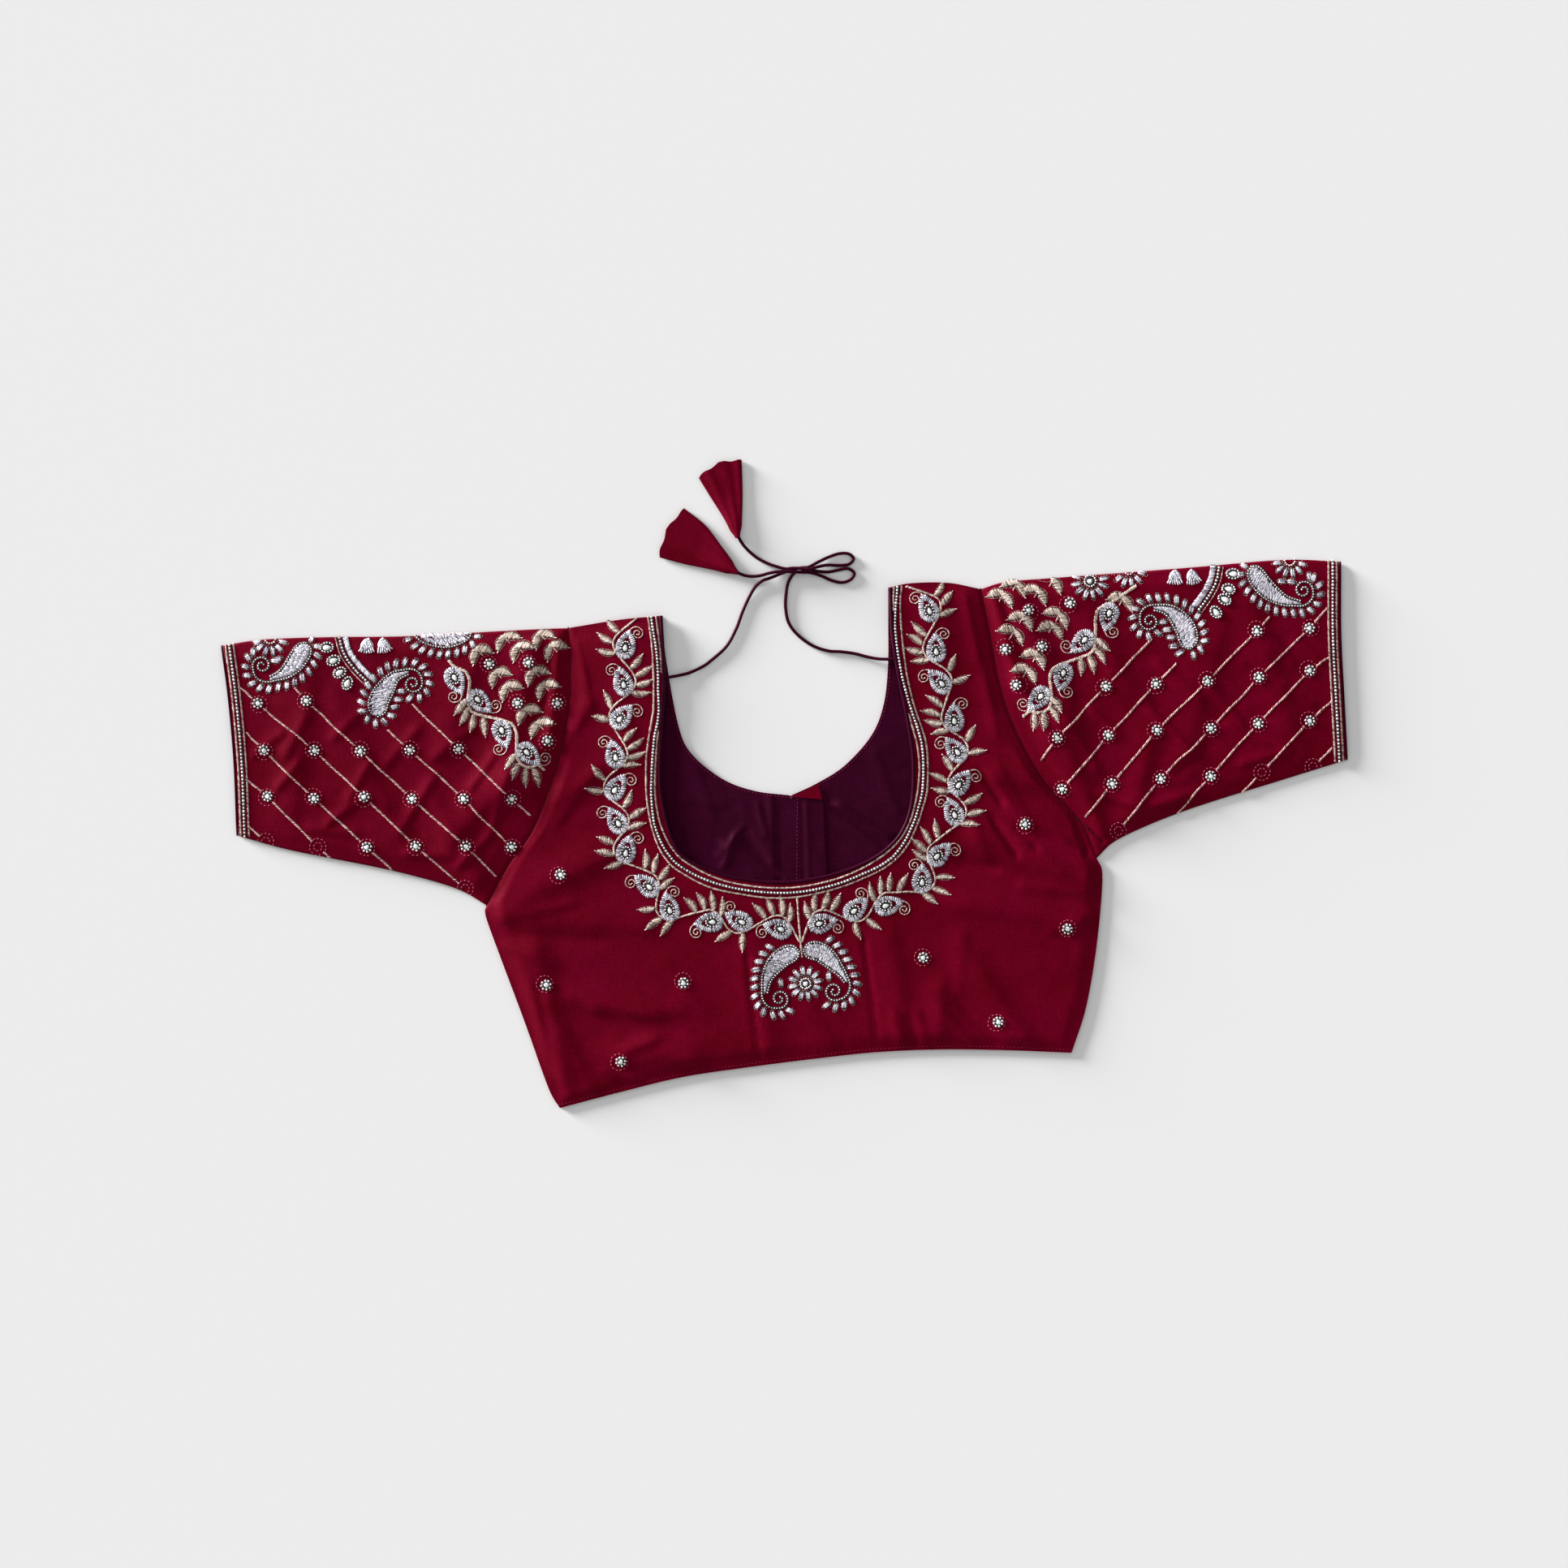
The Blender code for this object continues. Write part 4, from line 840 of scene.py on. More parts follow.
def sleeve_tops(side):
    """Top points of a sleeve: rings from the cuff to the armhole, each from fold to underarm."""
    edges = SLEEVES[side]
    fold, underarm = (smooth_curve(edges[name], SLEEVE_RINGS) for name in ("fold", "underarm"))
    cuff, armhole = smooth_curve(edges["cuff"], 60), smooth_curve(edges["armhole"], 90)
    near = np.array([0, 0.12, 0.45, 1.0, 1.6, FOLD_ROUND, 3.2])
    across = 150.0
    middle = np.linspace(5.0, across - 5.0, SLEEVE_STEPS - 2 * len(near))
    shares = np.r_[near, middle, across - near[::-1]] / across
    grid = patch(fold, underarm, cuff, armhole, shares)
    x, y = grid[..., 0], grid[..., 1]
    run = reach(fold)
    length = run[-1]
    to_cuff, to_armhole = run[:, None], (length - run)[:, None]
    u = run[:, None] / length
    to_fold = np.minimum(np.linalg.norm(grid - grid[:, :1], axis=2),
                         np.linalg.norm(grid - grid[:, -1:], axis=2))
    rolled = ease(to_fold / SLEEVE_EDGE_ROLL)
    puff = BACK_PUFF * rolled * ease(to_armhole / 22) * (0.55 + 0.45 * ease(u * 3))
    free = rolled * ease(to_armhole / 18) * ease((to_cuff - CUFF_BORDER_END) / 28)
    z = SEAM_TOP + ARMHOLE_RISE * np.sin(math.pi * shares)[None] * (0.5 + 0.5 * u)
    z = z + puff + ridges(x, y, SLEEVE_FOLDS[side]) * free
    clear = ease(to_fold / 6) * ease(to_armhole / 8) * ease((to_cuff - CUFF_BORDER_END) / 10)
    z = z + SLEEVE_CREASE_SHARE * ridges(x, y, SLEEVE_CREASES[side]) * clear
    z = z + SLEEVE_UNEVENNESS * undulation(x, y, 9, 60, 14) * free
    z = z - SEAM_DIP * np.exp(-(to_armhole / SEAM_DIP_WIDTH) ** 2)
    return np.dstack([grid, z]), to_fold


def sleeve_rings(tops, to_fold, wall):
    """Outer and inner rings of a flattened tube whose folds are rounded."""
    def skin(inset):
        round_off = np.sqrt(1 - (1 - np.clip(to_fold / FOLD_ROUND, 0, 1)) ** 2)
        half = tops[..., 2] / 2
        upper, lower = tops.copy(), tops.copy()
        upper[..., 2] = half + (half - inset) * round_off
        lower[..., 2] = half - (half - inset) * round_off
        middle = (tops[:, :1] + tops[:, -1:]) / 2
        width = np.linalg.norm(tops[:, :1, :2] - tops[:, -1:, :2], axis=2)[..., None]
        for part in (upper, lower):
            part[..., :2] += (middle - tops)[..., :2] * (2 * inset / width)
        return np.concatenate([upper, lower[:, -2:0:-1]], axis=1)
    return skin(0.0), skin(wall)


# Pieces of cloth

silk = raw_silk()
lining = lining_cloth()
piping = bias_piping()
silver = metal_thread("silver_zari_thread", "#696276", "#e4e1ea", 0.45)
rose = metal_thread("rose_gold_metal_thread", "#7a5552", "#dab2ac", 0.5)
gold = metal_thread("antique_gold_zari_thread", "#7d685c", "#dccabd", 0.5)
glass = silver_lined_glass()
stone = foiled_stone()
pink_thread = cotton_thread("pink_cotton_thread", "#8c2f45", "#c4707f")
# Near black stitches that paint the shade in the ditch of each armhole seam
seam_shade_paint = cotton_thread("painted_seam_shade", "#2a0009", "#3d0010")
seam_thread = cotton_thread("crimson_cotton_thread", "#5c0a24", "#8a1a3c")
thread_and_shade = thread_with_painted_shade()


def settle(piece, slot, *nodes):
    """Ties a finished piece to the part's root body and hides the solids it stands for; its finish,
    slot, is not used.
    """
    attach(piece, "root")
    if nodes:
        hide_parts(*nodes)


def make_back():
    tops, neck = back_tops()
    piece = cloth_sheet("back_cloth", tops, BACK_WALL, silk)
    settle(piece, "maroon_silk", "back")
    edge = sideways(neck, PIPING_REACH - PIPING_DIAMETER / 2)
    line = np.c_[edge, tops[:, 0, 2] - BACK_WALL / 2]
    cord = round_tube("neck_piping_roll", even_points(line, 300), PIPING_DIAMETER, piping)
    settle(cord, "silk_piping", "neck_piping")


def make_sleeve(side, turn):
    tops, to_fold = sleeve_tops(side)
    outer, inner = sleeve_rings(tops, to_fold, SLEEVE_WALL)
    piece = tube_sheet("sleeve_" + side + "_cloth", outer, inner, silk, turn)
    settle(piece, "maroon_silk", "sleeve_" + side)
    away = outer[0] - outer[2]
    away = away.mean(axis=0) * (1, 1, 0)
    away /= np.linalg.norm(away)
    ring = (outer[0] + inner[0]) / 2 + away * (LAYER_GAP + CUFF_PIPING_DIAMETER / 2)
    ring[:, 2] = np.maximum(ring[:, 2], CUFF_PIPING_DIAMETER / 2 + LAYER_GAP)
    ring = even_points(np.vstack([ring, ring[:1]]), 240)[:-1]
    cord = round_tube("cuff_piping_" + side + "_roll", ring, CUFF_PIPING_DIAMETER, piping,
                      closed=True, sides=10)
    settle(cord, "silk_piping", "cuff_piping_" + side)


def flat_grid(grid, height):
    return np.dstack([grid, np.full(grid.shape[:2], float(height))])


def make_fronts():
    centre = smooth_curve(CENTRE_FRONT, 60)
    hem = smooth_curve(HEM, 240)
    middle = int(np.argmin(np.linalg.norm(hem - centre[-1], axis=1)))
    for side, sign, neck, armhole, flank, shoulder, hem_part in (
            ("left", -1, NECK_FRONT_LEFT, ARMHOLE_LEFT, SIDE_LEFT, SHOULDER_LEFT,
             hem[:middle + 1][::-1]),
            ("right", 1, NECK_FRONT_RIGHT, ARMHOLE_RIGHT, SIDE_RIGHT, SHOULDER_RIGHT,
             hem[middle:])):
        inner = np.vstack([smooth_curve(neck, 60), (centre + (sign * LAYER_GAP / 2, 0))[1:]])
        outer = np.vstack([smooth_curve(armhole, 75) - (sign * SEAM_SHIFT, 0),
                           smooth_curve(flank, 45)[1:]])
        start = smooth_curve([neck[0]] + shoulder[1:], 20)
        start[0], start[-1] = inner[0], outer[0]
        end = hem_part.copy()
        end[0], end[-1] = inner[-1], outer[-1]
        tops = flat_grid(patch(inner, outer, start, end, np.linspace(0, 1, 40)), FRONT_WALL)
        piece = cloth_sheet("front_" + side + "_cloth", tops, FRONT_WALL, silk)
        settle(piece, "maroon_silk", "front_" + side)


def lining_height(grid):
    x, y = grid[..., 0], grid[..., 1]
    height = (FRONT_WALL + LAYER_GAP + LINING_WALL
              + LINING_CREASE_SHARE * ridges(x, y, LINING_CREASES)
              + LINING_UNEVENNESS * undulation(x, y, 21, 50, 14))
    return np.maximum(height, FRONT_WALL + THIN_LINING + LINING_CLEAR)


def make_linings():
    """The dark lining of the fronts in the neck, its hook strip and the turned corner of silk."""
    under = sideways(smooth_curve(NECK_BACK, 240), -LINING_UNDERLAP)
    low = np.array(LINING_LOWEST)
    lowest = int(np.argmin(np.linalg.norm(under - low, axis=1)))
    for side, sign, neck, rim in (("left", -1, NECK_FRONT_LEFT, under[:lowest + 1]),
                                  ("right", 1, NECK_FRONT_RIGHT, under[lowest:][::-1])):
        inner = smooth_curve(neck, 120) + (sign * 0.2, 0)
        outer = even_points(rim, 120)
        inner[0, 1] -= 1.0
        outer[0, 1] -= 1.0
        outer[-1] = low + (sign * 0.2, 0)
        grid = patch(inner, outer, np.array([inner[0], outer[0]]), np.array([inner[-1], outer[-1]]),
                     np.linspace(0, 1, 50))
        tops = np.dstack([grid, lining_height(grid)])
        piece = cloth_sheet("lining_" + side + "_cloth", tops, THIN_LINING, lining)
        settle(piece, "dark_lining", "lining_" + side)
    top, bottom = np.array(PLACKET["top"]), np.array(PLACKET["bottom"])
    grid = patch(*(np.linspace(top[at], bottom[at], 60) for at in (0, 1)),
                 np.linspace(top[0], top[1], 8), np.linspace(bottom[0], bottom[1], 8),
                 np.linspace(0, 1, 28))
    tops = np.dstack([grid, lining_height(grid) + LINING_WALL])
    # A raised fold along the strip and the groove of a seam beside it
    across = np.linspace(0, 1, 28)[None]
    fold = 0.35 * np.exp(-((across - 0.62) / 0.05) ** 2)
    groove = 0.3 * np.exp(-((across - 0.5) / 0.03) ** 2)
    tops[..., 2] = np.minimum(tops[..., 2] + (fold - groove), HOOK_STRIP_TOP)
    piece = cloth_sheet("hook_strip_cloth", tops, THIN_LINING, lining)
    settle(piece, "dark_lining", "hook_placket")
    edge = smooth_curve(NECK_FRONT_RIGHT, 120)[::-1]
    edge = even_points(edge[edge[:, 0] < 16.5], 24) - (0, 0.6)
    low = np.linspace(edge[0] - (0, 0.3), (17.0, 22.8), 25)
    grid = patch(edge, low, np.array([edge[0], low[0]]), np.array([edge[-1], low[-1]]),
                 np.linspace(0, 1, 10))
    tops = flat_grid(grid, CORNER_TOP)
    corner = cloth_sheet("turned_corner_cloth", tops, CORNER_WALL, silk)
    settle(corner, "maroon_silk")


# Tie cords and tassels

def stem_point(x, angle):
    t = (x - STEM["x0"]) / (STEM["x1"] - STEM["x0"])
    middle = STEM["y0"] + (STEM["y1"] - STEM["y0"]) * t + STEM["bow"] * math.sin(math.pi * t)
    turn = math.radians(angle + x * STEM["turn_per_mm"])
    return (x, middle + STEM["radius"] * math.cos(turn),
            STEM["z"] + STEM["radius"] * math.sin(turn))


def strand(angle, entry_x, leave_x):
    """Points of one strand of the twisted stem, from where it joins to where it leaves."""
    count = max(2, round(abs(leave_x - entry_x) / 4.4))
    return [stem_point(entry_x + (leave_x - entry_x) * step / count, angle)
            for step in range(count + 1)]


def cord_routes():
    x0, x1, middle, turn = STEM["x0"], STEM["x1"], RIGHT_ENTRY_X, STEM["turn_per_mm"]
    left = (DORI_LEFT_IN + strand(180.0 - x0 * turn, x0, x1) + LOOP_UPPER
            + strand(-middle * turn, x1, middle) + TAIL_UPPER)
    right = (DORI_RIGHT_IN + strand(180.0 - middle * turn, middle + 6, x1) + LOOP_LOWER
             + strand(-x0 * turn, x1, x0) + TAIL_LOWER)
    return {"left": left, "right": right}


def make_tassel(name):
    """A cone of silk pressed flat, open at its wide end, with soft pleats from its neck."""
    rows, sides = 44, 72
    left, right = (smooth_curve(TASSELS[name][side], rows) for side in ("left", "right"))
    forward = (left[-1] + right[-1]) - (left[0] + right[0])
    forward = forward / np.linalg.norm(forward)
    t = np.linspace(0, 1, rows + 1)[:, None]
    angle = np.linspace(0, 2 * math.pi, sides, endpoint=False)[None]
    height = TASSEL_NECK_HEIGHT + (TASSEL_END_HEIGHT - TASSEL_NECK_HEIGHT) * ease(t * 1.6)
    middle, half = (left + right)[:, None] / 2, (right - left)[:, None] / 2
    power = 1 - 0.45 * ease(t * 1.5)
    across = np.sign(np.cos(angle)) * np.abs(np.cos(angle)) ** power
    up = np.sign(np.sin(angle)) * np.abs(np.sin(angle)) ** power
    rings = []
    for skin in (0.0, TASSEL_WALL):
        narrow = 1 - skin / np.linalg.norm(half, axis=2)
        narrow = narrow * (1 - TASSEL_PINCH * (1 - ease(t * 7)))
        flat = middle + half * (across * narrow)[..., None]
        flat = flat + forward * ((1 - across ** 2) * TASSEL_END_BOW * t)[..., None]
        flat = flat + forward * (TASSEL_END_WAVE * t * np.sin(across * 7 + 1))[..., None]
        pleats = TASSEL_PLEAT * t * np.sin(across * 9) * (up > 0)
        z = height / 2 + up * (height / 2 - skin) + pleats
        rings.append(np.dstack([flat, z]))
    piece = tube_sheet("tassel_" + name + "_cloth", rings[0], rings[1], silk,
                       math.degrees(math.atan2(forward[1], forward[0])))
    settle(piece, "maroon_silk", "tassel_" + name)
    cut = np.stack([left, right], 1)
    cut = np.dstack([cut @ (-forward[1], forward[0]), cut @ forward])
    return piece


def make_cords(tassels):
    # Tubes of bias cut satin, turned inside out and rolled to a cord of 2.4 mm.
    for side, route in cord_routes().items():
        line = smooth_curve(route, 400)
        curve = bpy.data.curves.new("dori_" + side + "_cord", "CURVE")
        curve.dimensions = "3D"
        curve.bevel_depth = DORI_DIAMETER / 2 * MM
        curve.bevel_resolution = 3
        curve.use_fill_caps = True
        spline = curve.splines.new("POLY")
        spline.points.add(len(line) - 1)
        spline.points.foreach_set("co", np.c_[line * MM, np.ones(len(line))].ravel())
        curve.materials.append(piping)
        piece = add_object("dori_" + side + "_cord", curve)
        settle(piece, "silk_cord", "dori_" + side)


# Embroidery: rows of x, y, turn in radians, length and width for each kind of stitch, and lines
# for what is couched or strung along a path

draw = np.random.default_rng(7)
HAND_WANDER = 0.09
# How far the vine's bends stand from the middles of the paisleys
VINE_RADIUS = 9.6


def new_work():
    return {kind: [] for kind in (*POINT_LOOKS, *LINE_LOOKS, "placed")}


def put(work, kind, points, turns, length, width):
    """Adds stitches of one kind, each a little off its place as hand work is."""
    points = np.atleast_2d(points)
    rows = np.empty((len(points), 5))
    rows[:, :2] = points + draw.normal(0, HAND_WANDER, (len(points), 2))
    rows[:, 2] = turns
    rows[:, 3] = length
    rows[:, 4] = width
    if kind in ("silver", "gold"):
        rows[:, 2] += draw.normal(0, 0.07, len(points))
        rows[:, 3] *= draw.uniform(0.88, 1.1, len(points))
    work[kind].append(rows)


def polar(angle, radius=1.0):
    return np.stack([np.cos(angle), np.sin(angle)], -1) * np.reshape(radius, (-1, 1))


def ring(count, radius, phase=0.0):
    return polar(np.arange(count) * 2 * math.pi / count + phase, radius)


def heading(ways):
    return np.arctan2(ways[:, 1], ways[:, 0])


def turned(points, angle, centre):
    c, s = math.cos(angle), math.sin(angle)
    return np.asarray(points) @ np.array([[c, s], [-s, c]]) + centre


def leaf(work, base, angle, length, width, bend, lean=1.12):
    """A satin leaf: slanted stitches over a dark ground that also paints their shade, short ones at
    its tip, and fine dots.
    """
    count = max(6, round(length / 1.02))
    t = (np.arange(count) + 0.5) / count
    across = width * (0.45 + 0.55 * np.sin(math.pi * np.clip(t / 0.9, 0, 1)) ** 0.7)
    side = 1 if bend >= 0 else -1
    spine = np.stack([t * length * 0.92, bend * np.sin(math.pi * t)], -1)
    put(work, "ground", turned(spine[::2], angle, base), angle, 3.2, across[::2] * 0.95)
    put(work, "gold", turned(spine, angle, base), angle + side * lean, across * 1.14, 0.9)
    tip = np.stack([np.array([0.98, 1.07]) * length, np.full(2, -0.3 * bend)], -1)
    put(work, "gold", turned(tip, angle, base), angle + side * 0.4, 1.7, 0.85)
    for edge in (-0.57, 0.57):
        dots = np.stack([t * length * 0.97, edge * across + bend * np.sin(math.pi * t)], -1)
        put(work, "dot", turned(dots, angle, base), angle, 0.75, 0.5)


def teardrop(length, width, lean, count):
    """Outline of a paisley from its tip round to its tip, the tip pointing along +X."""
    t = np.linspace(0, 2 * math.pi, count, endpoint=False)
    along = length / 2 * np.cos(t)
    across = width / 1.66 * np.sin(t) * np.abs(np.sin(t / 2)) ** 0.7
    return np.stack([along, across + lean * ((along + length / 2) / length) ** 2.2], -1)


def small_paisley(work, centre, angle, side):
    """A ring of silver satin round beads and a drop stone, with a couched curl at its tip."""
    length, width, lean = 22.6, 15.2, -0.9 * side
    fine = teardrop(length, width, lean, 400)
    closed = np.vstack([fine, fine[:1]])
    outline = even_points(closed, 37)[:-1]
    ahead = np.roll(outline, -1, axis=0) - np.roll(outline, 1, axis=0)
    inward = lefts(ahead) / np.linalg.norm(ahead, axis=1)[:, None]
    middle = outline + inward * 1.9
    facing = heading(inward) + angle
    put(work, "ground", turned(middle, angle, centre), facing, 4.2, 2.2)
    put(work, "silver", turned(middle, angle, centre), facing + 0.15, 4.6, 1.14)
    put(work, "silver", turned([(length * 0.38, lean * 0.7), (length * 0.31, lean * 0.5),
                                (length * 0.25, lean * 0.4)], angle, centre), angle + 1.3, 3.0,
        1.0)
    heart = np.array([-length * 0.12, 0.0])
    ovals = ring(12, 1.0, 0.2) * (4.5, 3.3)
    put(work, "ground", turned([heart], angle, centre), angle, 10.5, 7.8)
    put(work, "bead", turned(ovals + heart, angle, centre), 0.0, 1.35, 1.35)
    put(work, "stone", turned([heart], angle, centre), angle, 5.2, 3.5)
    curl = spiral(np.array([length * 0.44, lean * 0.9]), np.array([length * 0.41, -side * 7.0]),
                  4.3, 1.75, side)
    work["fine_rope"].append(turned(curl, angle, centre))


def spiral(start, middle, radius, turns, side):
    """A curl that leaves a point and winds in round its middle."""
    away = start - middle
    begin = math.atan2(away[1], away[0])
    t = np.linspace(0, 1, 60)
    first = np.linalg.norm(away)
    radii = np.where(t < 0.15, first + (radius - first) * t / 0.15,
                     radius * (1 - 0.80 * (t - 0.15) / 0.85))
    return middle + polar(begin - side * t * turns * 2 * math.pi, radii)


def softened(line, window):
    """A line with its corners averaged away and its ends kept."""
    padded = np.vstack([np.repeat(line[:1], window, 0), line, np.repeat(line[-1:], window, 0)])
    kernel = np.hanning(2 * window + 3)[1:-1]
    kernel /= kernel.sum()
    return np.stack([np.convolve(padded[:, axis], kernel, "valid") for axis in (0, 1)], -1)


def paisley_row(work, row):
    """Small paisleys along a vine that swings from side to side, with leaves on its bends."""
    places = np.array([p[:2] for p in row["paisleys"]], float)
    sides = [row["first"] * (-1) ** index for index in range(len(places))]
    travel = directions(np.vstack([2 * places[0] - places[1], places,
                                   2 * places[-1] - places[-2]]))[1:-1]
    left = lefts(travel)
    crests = places + left * np.array(sides)[:, None] * VINE_RADIUS
    knots = [row["start"]]
    for index, place in enumerate(places):
        for around in np.radians((-45, 0, 45, 80)[:4 if index + 1 == len(places) < 6 else 3]):
            knots.append(tuple(place + VINE_RADIUS * (
                travel[index] * math.sin(around) + left[index] * sides[index] * math.cos(around))))
        if index + 1 < len(places):
            knots.append(tuple((place + places[index + 1]) / 2))
    knots.append(row["end"])
    vine = even_points(smooth_curve(knots, 900), 900)
    vine = softened(vine, round(4.0 * len(vine) / reach(vine)[-1]))
    work["rope"].append(vine)
    if len(places) < 6:
        work["rope"].append(sideways(vine, 0.8))
    run = reach(vine)
    way = directions(vine)
    for (x, y, tip), side, crest, ahead, count in zip(row["paisleys"], sides, crests, travel,
                                                      row["leaves"]):
        small_paisley(work, (x, y), math.radians(tip), side)
        here = run[int(np.argmin(np.linalg.norm(vine - crest, axis=1)))]
        outwards = math.atan2(ahead[1], ahead[0]) + side * math.pi / 2
        for step in range(count):
            gap = 6.4 if count > 3 else 8.4
            at = int(np.searchsorted(run, here + (step - (count - 1) / 2) * gap))
            at = min(at, len(vine) - 1)
            lean = 0.08 + 0.82 * step / max(count - 1, 1) + draw.normal(0, 0.08)
            angle = outwards - side * lean
            leaf(work, vine[at] + polar(np.array([angle]), 1.2)[0], angle,
                 draw.uniform(11.8, 13.6), row["leaf_width"] * draw.uniform(0.92, 1.08),
                 draw.uniform(-0.6, 0.9) * side)


def bar(work, centre, angle, length=6.4, width=2.8):
    """A short bar of silver satin edged with fine dots."""
    work["placed"].append(np.asarray(centre, float))
    put(work, "ground", [centre], angle, length * 1.15, width * 1.4)
    put(work, "silver", turned([(0, -width * 0.34), (0, 0), (0, width * 0.34)], angle, centre),
        angle, np.array([0.86, 1.0, 0.86]) * length, width * 0.42)
    edge = ring(12, 1.0, 0.3) * (length * 0.58, width * 0.8)
    put(work, "dot", turned(edge, angle, centre), angle + 0.6, 0.75, 0.55)


def flower(work, x, y, reach_mm):
    """A stone and a ring of fine beads with bars standing all round them."""
    centre = np.array([x, y], float)
    put(work, "ground", [centre], 0.0, reach_mm * 0.72, reach_mm * 0.72)
    put(work, "stone", [centre], 0.6, 4.2, 3.8)
    put(work, "bead", ring(14, reach_mm * 0.29) + centre, 0.0, 1.5, 1.5)
    for angle in np.arange(12) * 2 * math.pi / 12 + 0.1:
        bar(work, polar(np.array([angle]), reach_mm * 0.71)[0] + centre, angle,
            reach_mm * 0.54, 2.6)


def butti(work, centre):
    """A stone in a ring of beads inside a circle of running stitches."""
    centre = np.asarray(centre, float)
    put(work, "ground", [centre], 0.0, 8.3, 8.3)
    put(work, "bead", ring(8, 3.3, draw.uniform(0, 1)) + centre, 0.0, 1.8, 1.8)
    put(work, "stone", [centre], draw.uniform(0, 3), 4.3, 3.8)
    dashed(work, centre + draw.normal(0, 0.7, 2), 6.1)


def drop_stone(work, x, y, degrees):
    """A drop shaped stone in a ring of beads."""
    centre, angle = np.array([x, y], float), math.radians(degrees)
    put(work, "ground", [centre], angle, 11.6, 9.0)
    put(work, "bead", turned(ring(13, 1.0) * (4.7, 3.5), angle, centre), 0.0, 1.5, 1.5)
    put(work, "stone", [centre], angle, 6.6, 4.3)


def dashed(work, centre, radius):
    count = round(radius * 2.2)
    angles = np.arange(count) / count * 2 * math.pi
    put(work, "dash", polar(angles, radius) + centre, angles + math.pi / 2, 1.9, 0.6)


def comma(work, axis, half_width, middle, bars_from, bars):
    """A large paisley: satin fill, a strung outline that ends in a spiral, and a ring of bars."""
    axis = smooth_curve(axis, 120)
    middle = np.array(middle, float)
    way = directions(axis)
    left = lefts(way)
    t = np.linspace(0, 1, len(axis))
    half = half_width * np.sqrt(1 - (1 - np.clip(t / 0.2, 0, 1)) ** 2) * (
        1 - 0.9 * ease((t - 0.35) / 0.7))
    tail = middle - axis[-1]
    side = 1 if way[-1, 0] * tail[1] - way[-1, 1] * tail[0] > 0 else -1
    run = reach(axis)
    put(work, "pad", axis[3::4], heading(left[3::4]), 1.95 * half[3::4] + 0.6, 3.6)
    for distance in np.arange(0.7, run[-1], 0.5):
        at = int(np.searchsorted(run, distance))
        count = max(1, round(2 * half[at] / 3.4))
        spread = (np.arange(count) + 0.5) / count * 2 - 1
        spread = spread + draw.uniform(-0.25, 0.25)
        angle = math.atan2(left[at, 1], left[at, 0]) + draw.normal(0.3, 0.12)
        put(work, "silver", axis[at] + left[at] * (spread * half[at])[:, None], angle,
            2 * half[at] / count * 1.1 + 0.5, 0.84)
    gap = (half + 1.5)[:, None]
    inner = (axis + left * side * gap)[::-1]
    outer = axis - left * side * gap
    head = axis[0] - way[0] * 1.6
    outline = np.vstack([inner, head[None], outer])
    curl = spiral(outer[-1], middle, 7.2, 1.75, -side)
    line = smooth_curve(even_points(np.vstack([outline, curl[1:]]), 110), 700)
    work["bead_line"].append(line)
    run = reach(line)
    way = directions(line)
    first = bars_from * reach(outline)[-1]
    work["placed"].append(middle)
    most = len(work["placed"]) + bars
    for distance in np.arange(first, run[-1], 0.5):
        at = int(np.searchsorted(run, distance))
        normal = np.array([-way[at, 1], way[at, 0]]) * -side
        centre = line[at] + normal * BAR_OFF
        apart = min(np.linalg.norm(centre - other) for other in work["placed"])
        if apart > BARS_APART and np.linalg.norm(line - centre, axis=1).min() > BARS_CLEAR:
            to_tail = way[at] * (0.4 if distance > reach(outline)[-1] / 2 else -0.4)
            bar(work, centre, math.atan2(*(normal + to_tail)[::-1]), 6.6, 2.9)
        if len(work["placed"]) >= most:
            break


def fan(work, x, y, degrees):
    angles = np.radians(degrees) + np.linspace(-0.46, 0.46, 7)
    put(work, "pad", polar(angles[::3], 5.5) + (x, y), angles[::3], 8.0, 3.0)
    for radius in (2.6, 4.4, 6.2, 8.0, 9.8, 11.2):
        put(work, "silver", polar(angles, radius) + (x, y), angles + draw.normal(0, 0.2, 7), 3.6,
            1.05)


def arc_band(work, points):
    """A band of satin with a row of beads beside it and a couched line beyond them."""
    line = smooth_curve(points, 200)
    run = reach(line)
    way = directions(line)
    left = lefts(way)
    at = np.searchsorted(run, np.arange(0.5, run[-1], 0.85))
    put(work, "ground", line[at[::3]], heading(left[at[::3]]), 4.6, 3.4)
    put(work, "silver", line[at], heading(left[at]) + 0.35, 5.2, 1.05)
    side = -1 if points[0][0] < 0 else 1
    beads = line + left * side * 4.3
    run = reach(beads)
    spots = beads[np.searchsorted(run, np.arange(0.5, run[-1], 2.5))]
    put(work, "ground", spots, 0.0, 3.0, 3.0)
    put(work, "bead", spots, 0.0, 1.9, 1.9)
    work["fine_rope"].append(line + left * side * 7.2)


def lattice(work, chain):
    for x, y, mark in chain:
        if mark == 1:
            butti(work, (x, y))
        elif mark == 2:
            dashed(work, (x, y), 6.0)
            dashed(work, (x, y), 3.0)
    for (x0, y0, mark0), (x1, y1, mark1) in zip(chain, chain[1:]):
        start, end = np.array((x0, y0), float), np.array((x1, y1), float)
        step = (end - start) / np.linalg.norm(end - start)
        start = start + step * (6.4 if mark0 else 0)
        end = end - step * (6.4 if mark1 else 0)
        shares = np.linspace(0, 1, max(3, round(np.linalg.norm(end - start) / 9)))
        path = start + (end - start) * shares[:, None]
        path[1:-1] += draw.normal(0, 0.32, (len(shares) - 2, 2))
        work["rose_rope"].append(smooth_curve(path, 60))


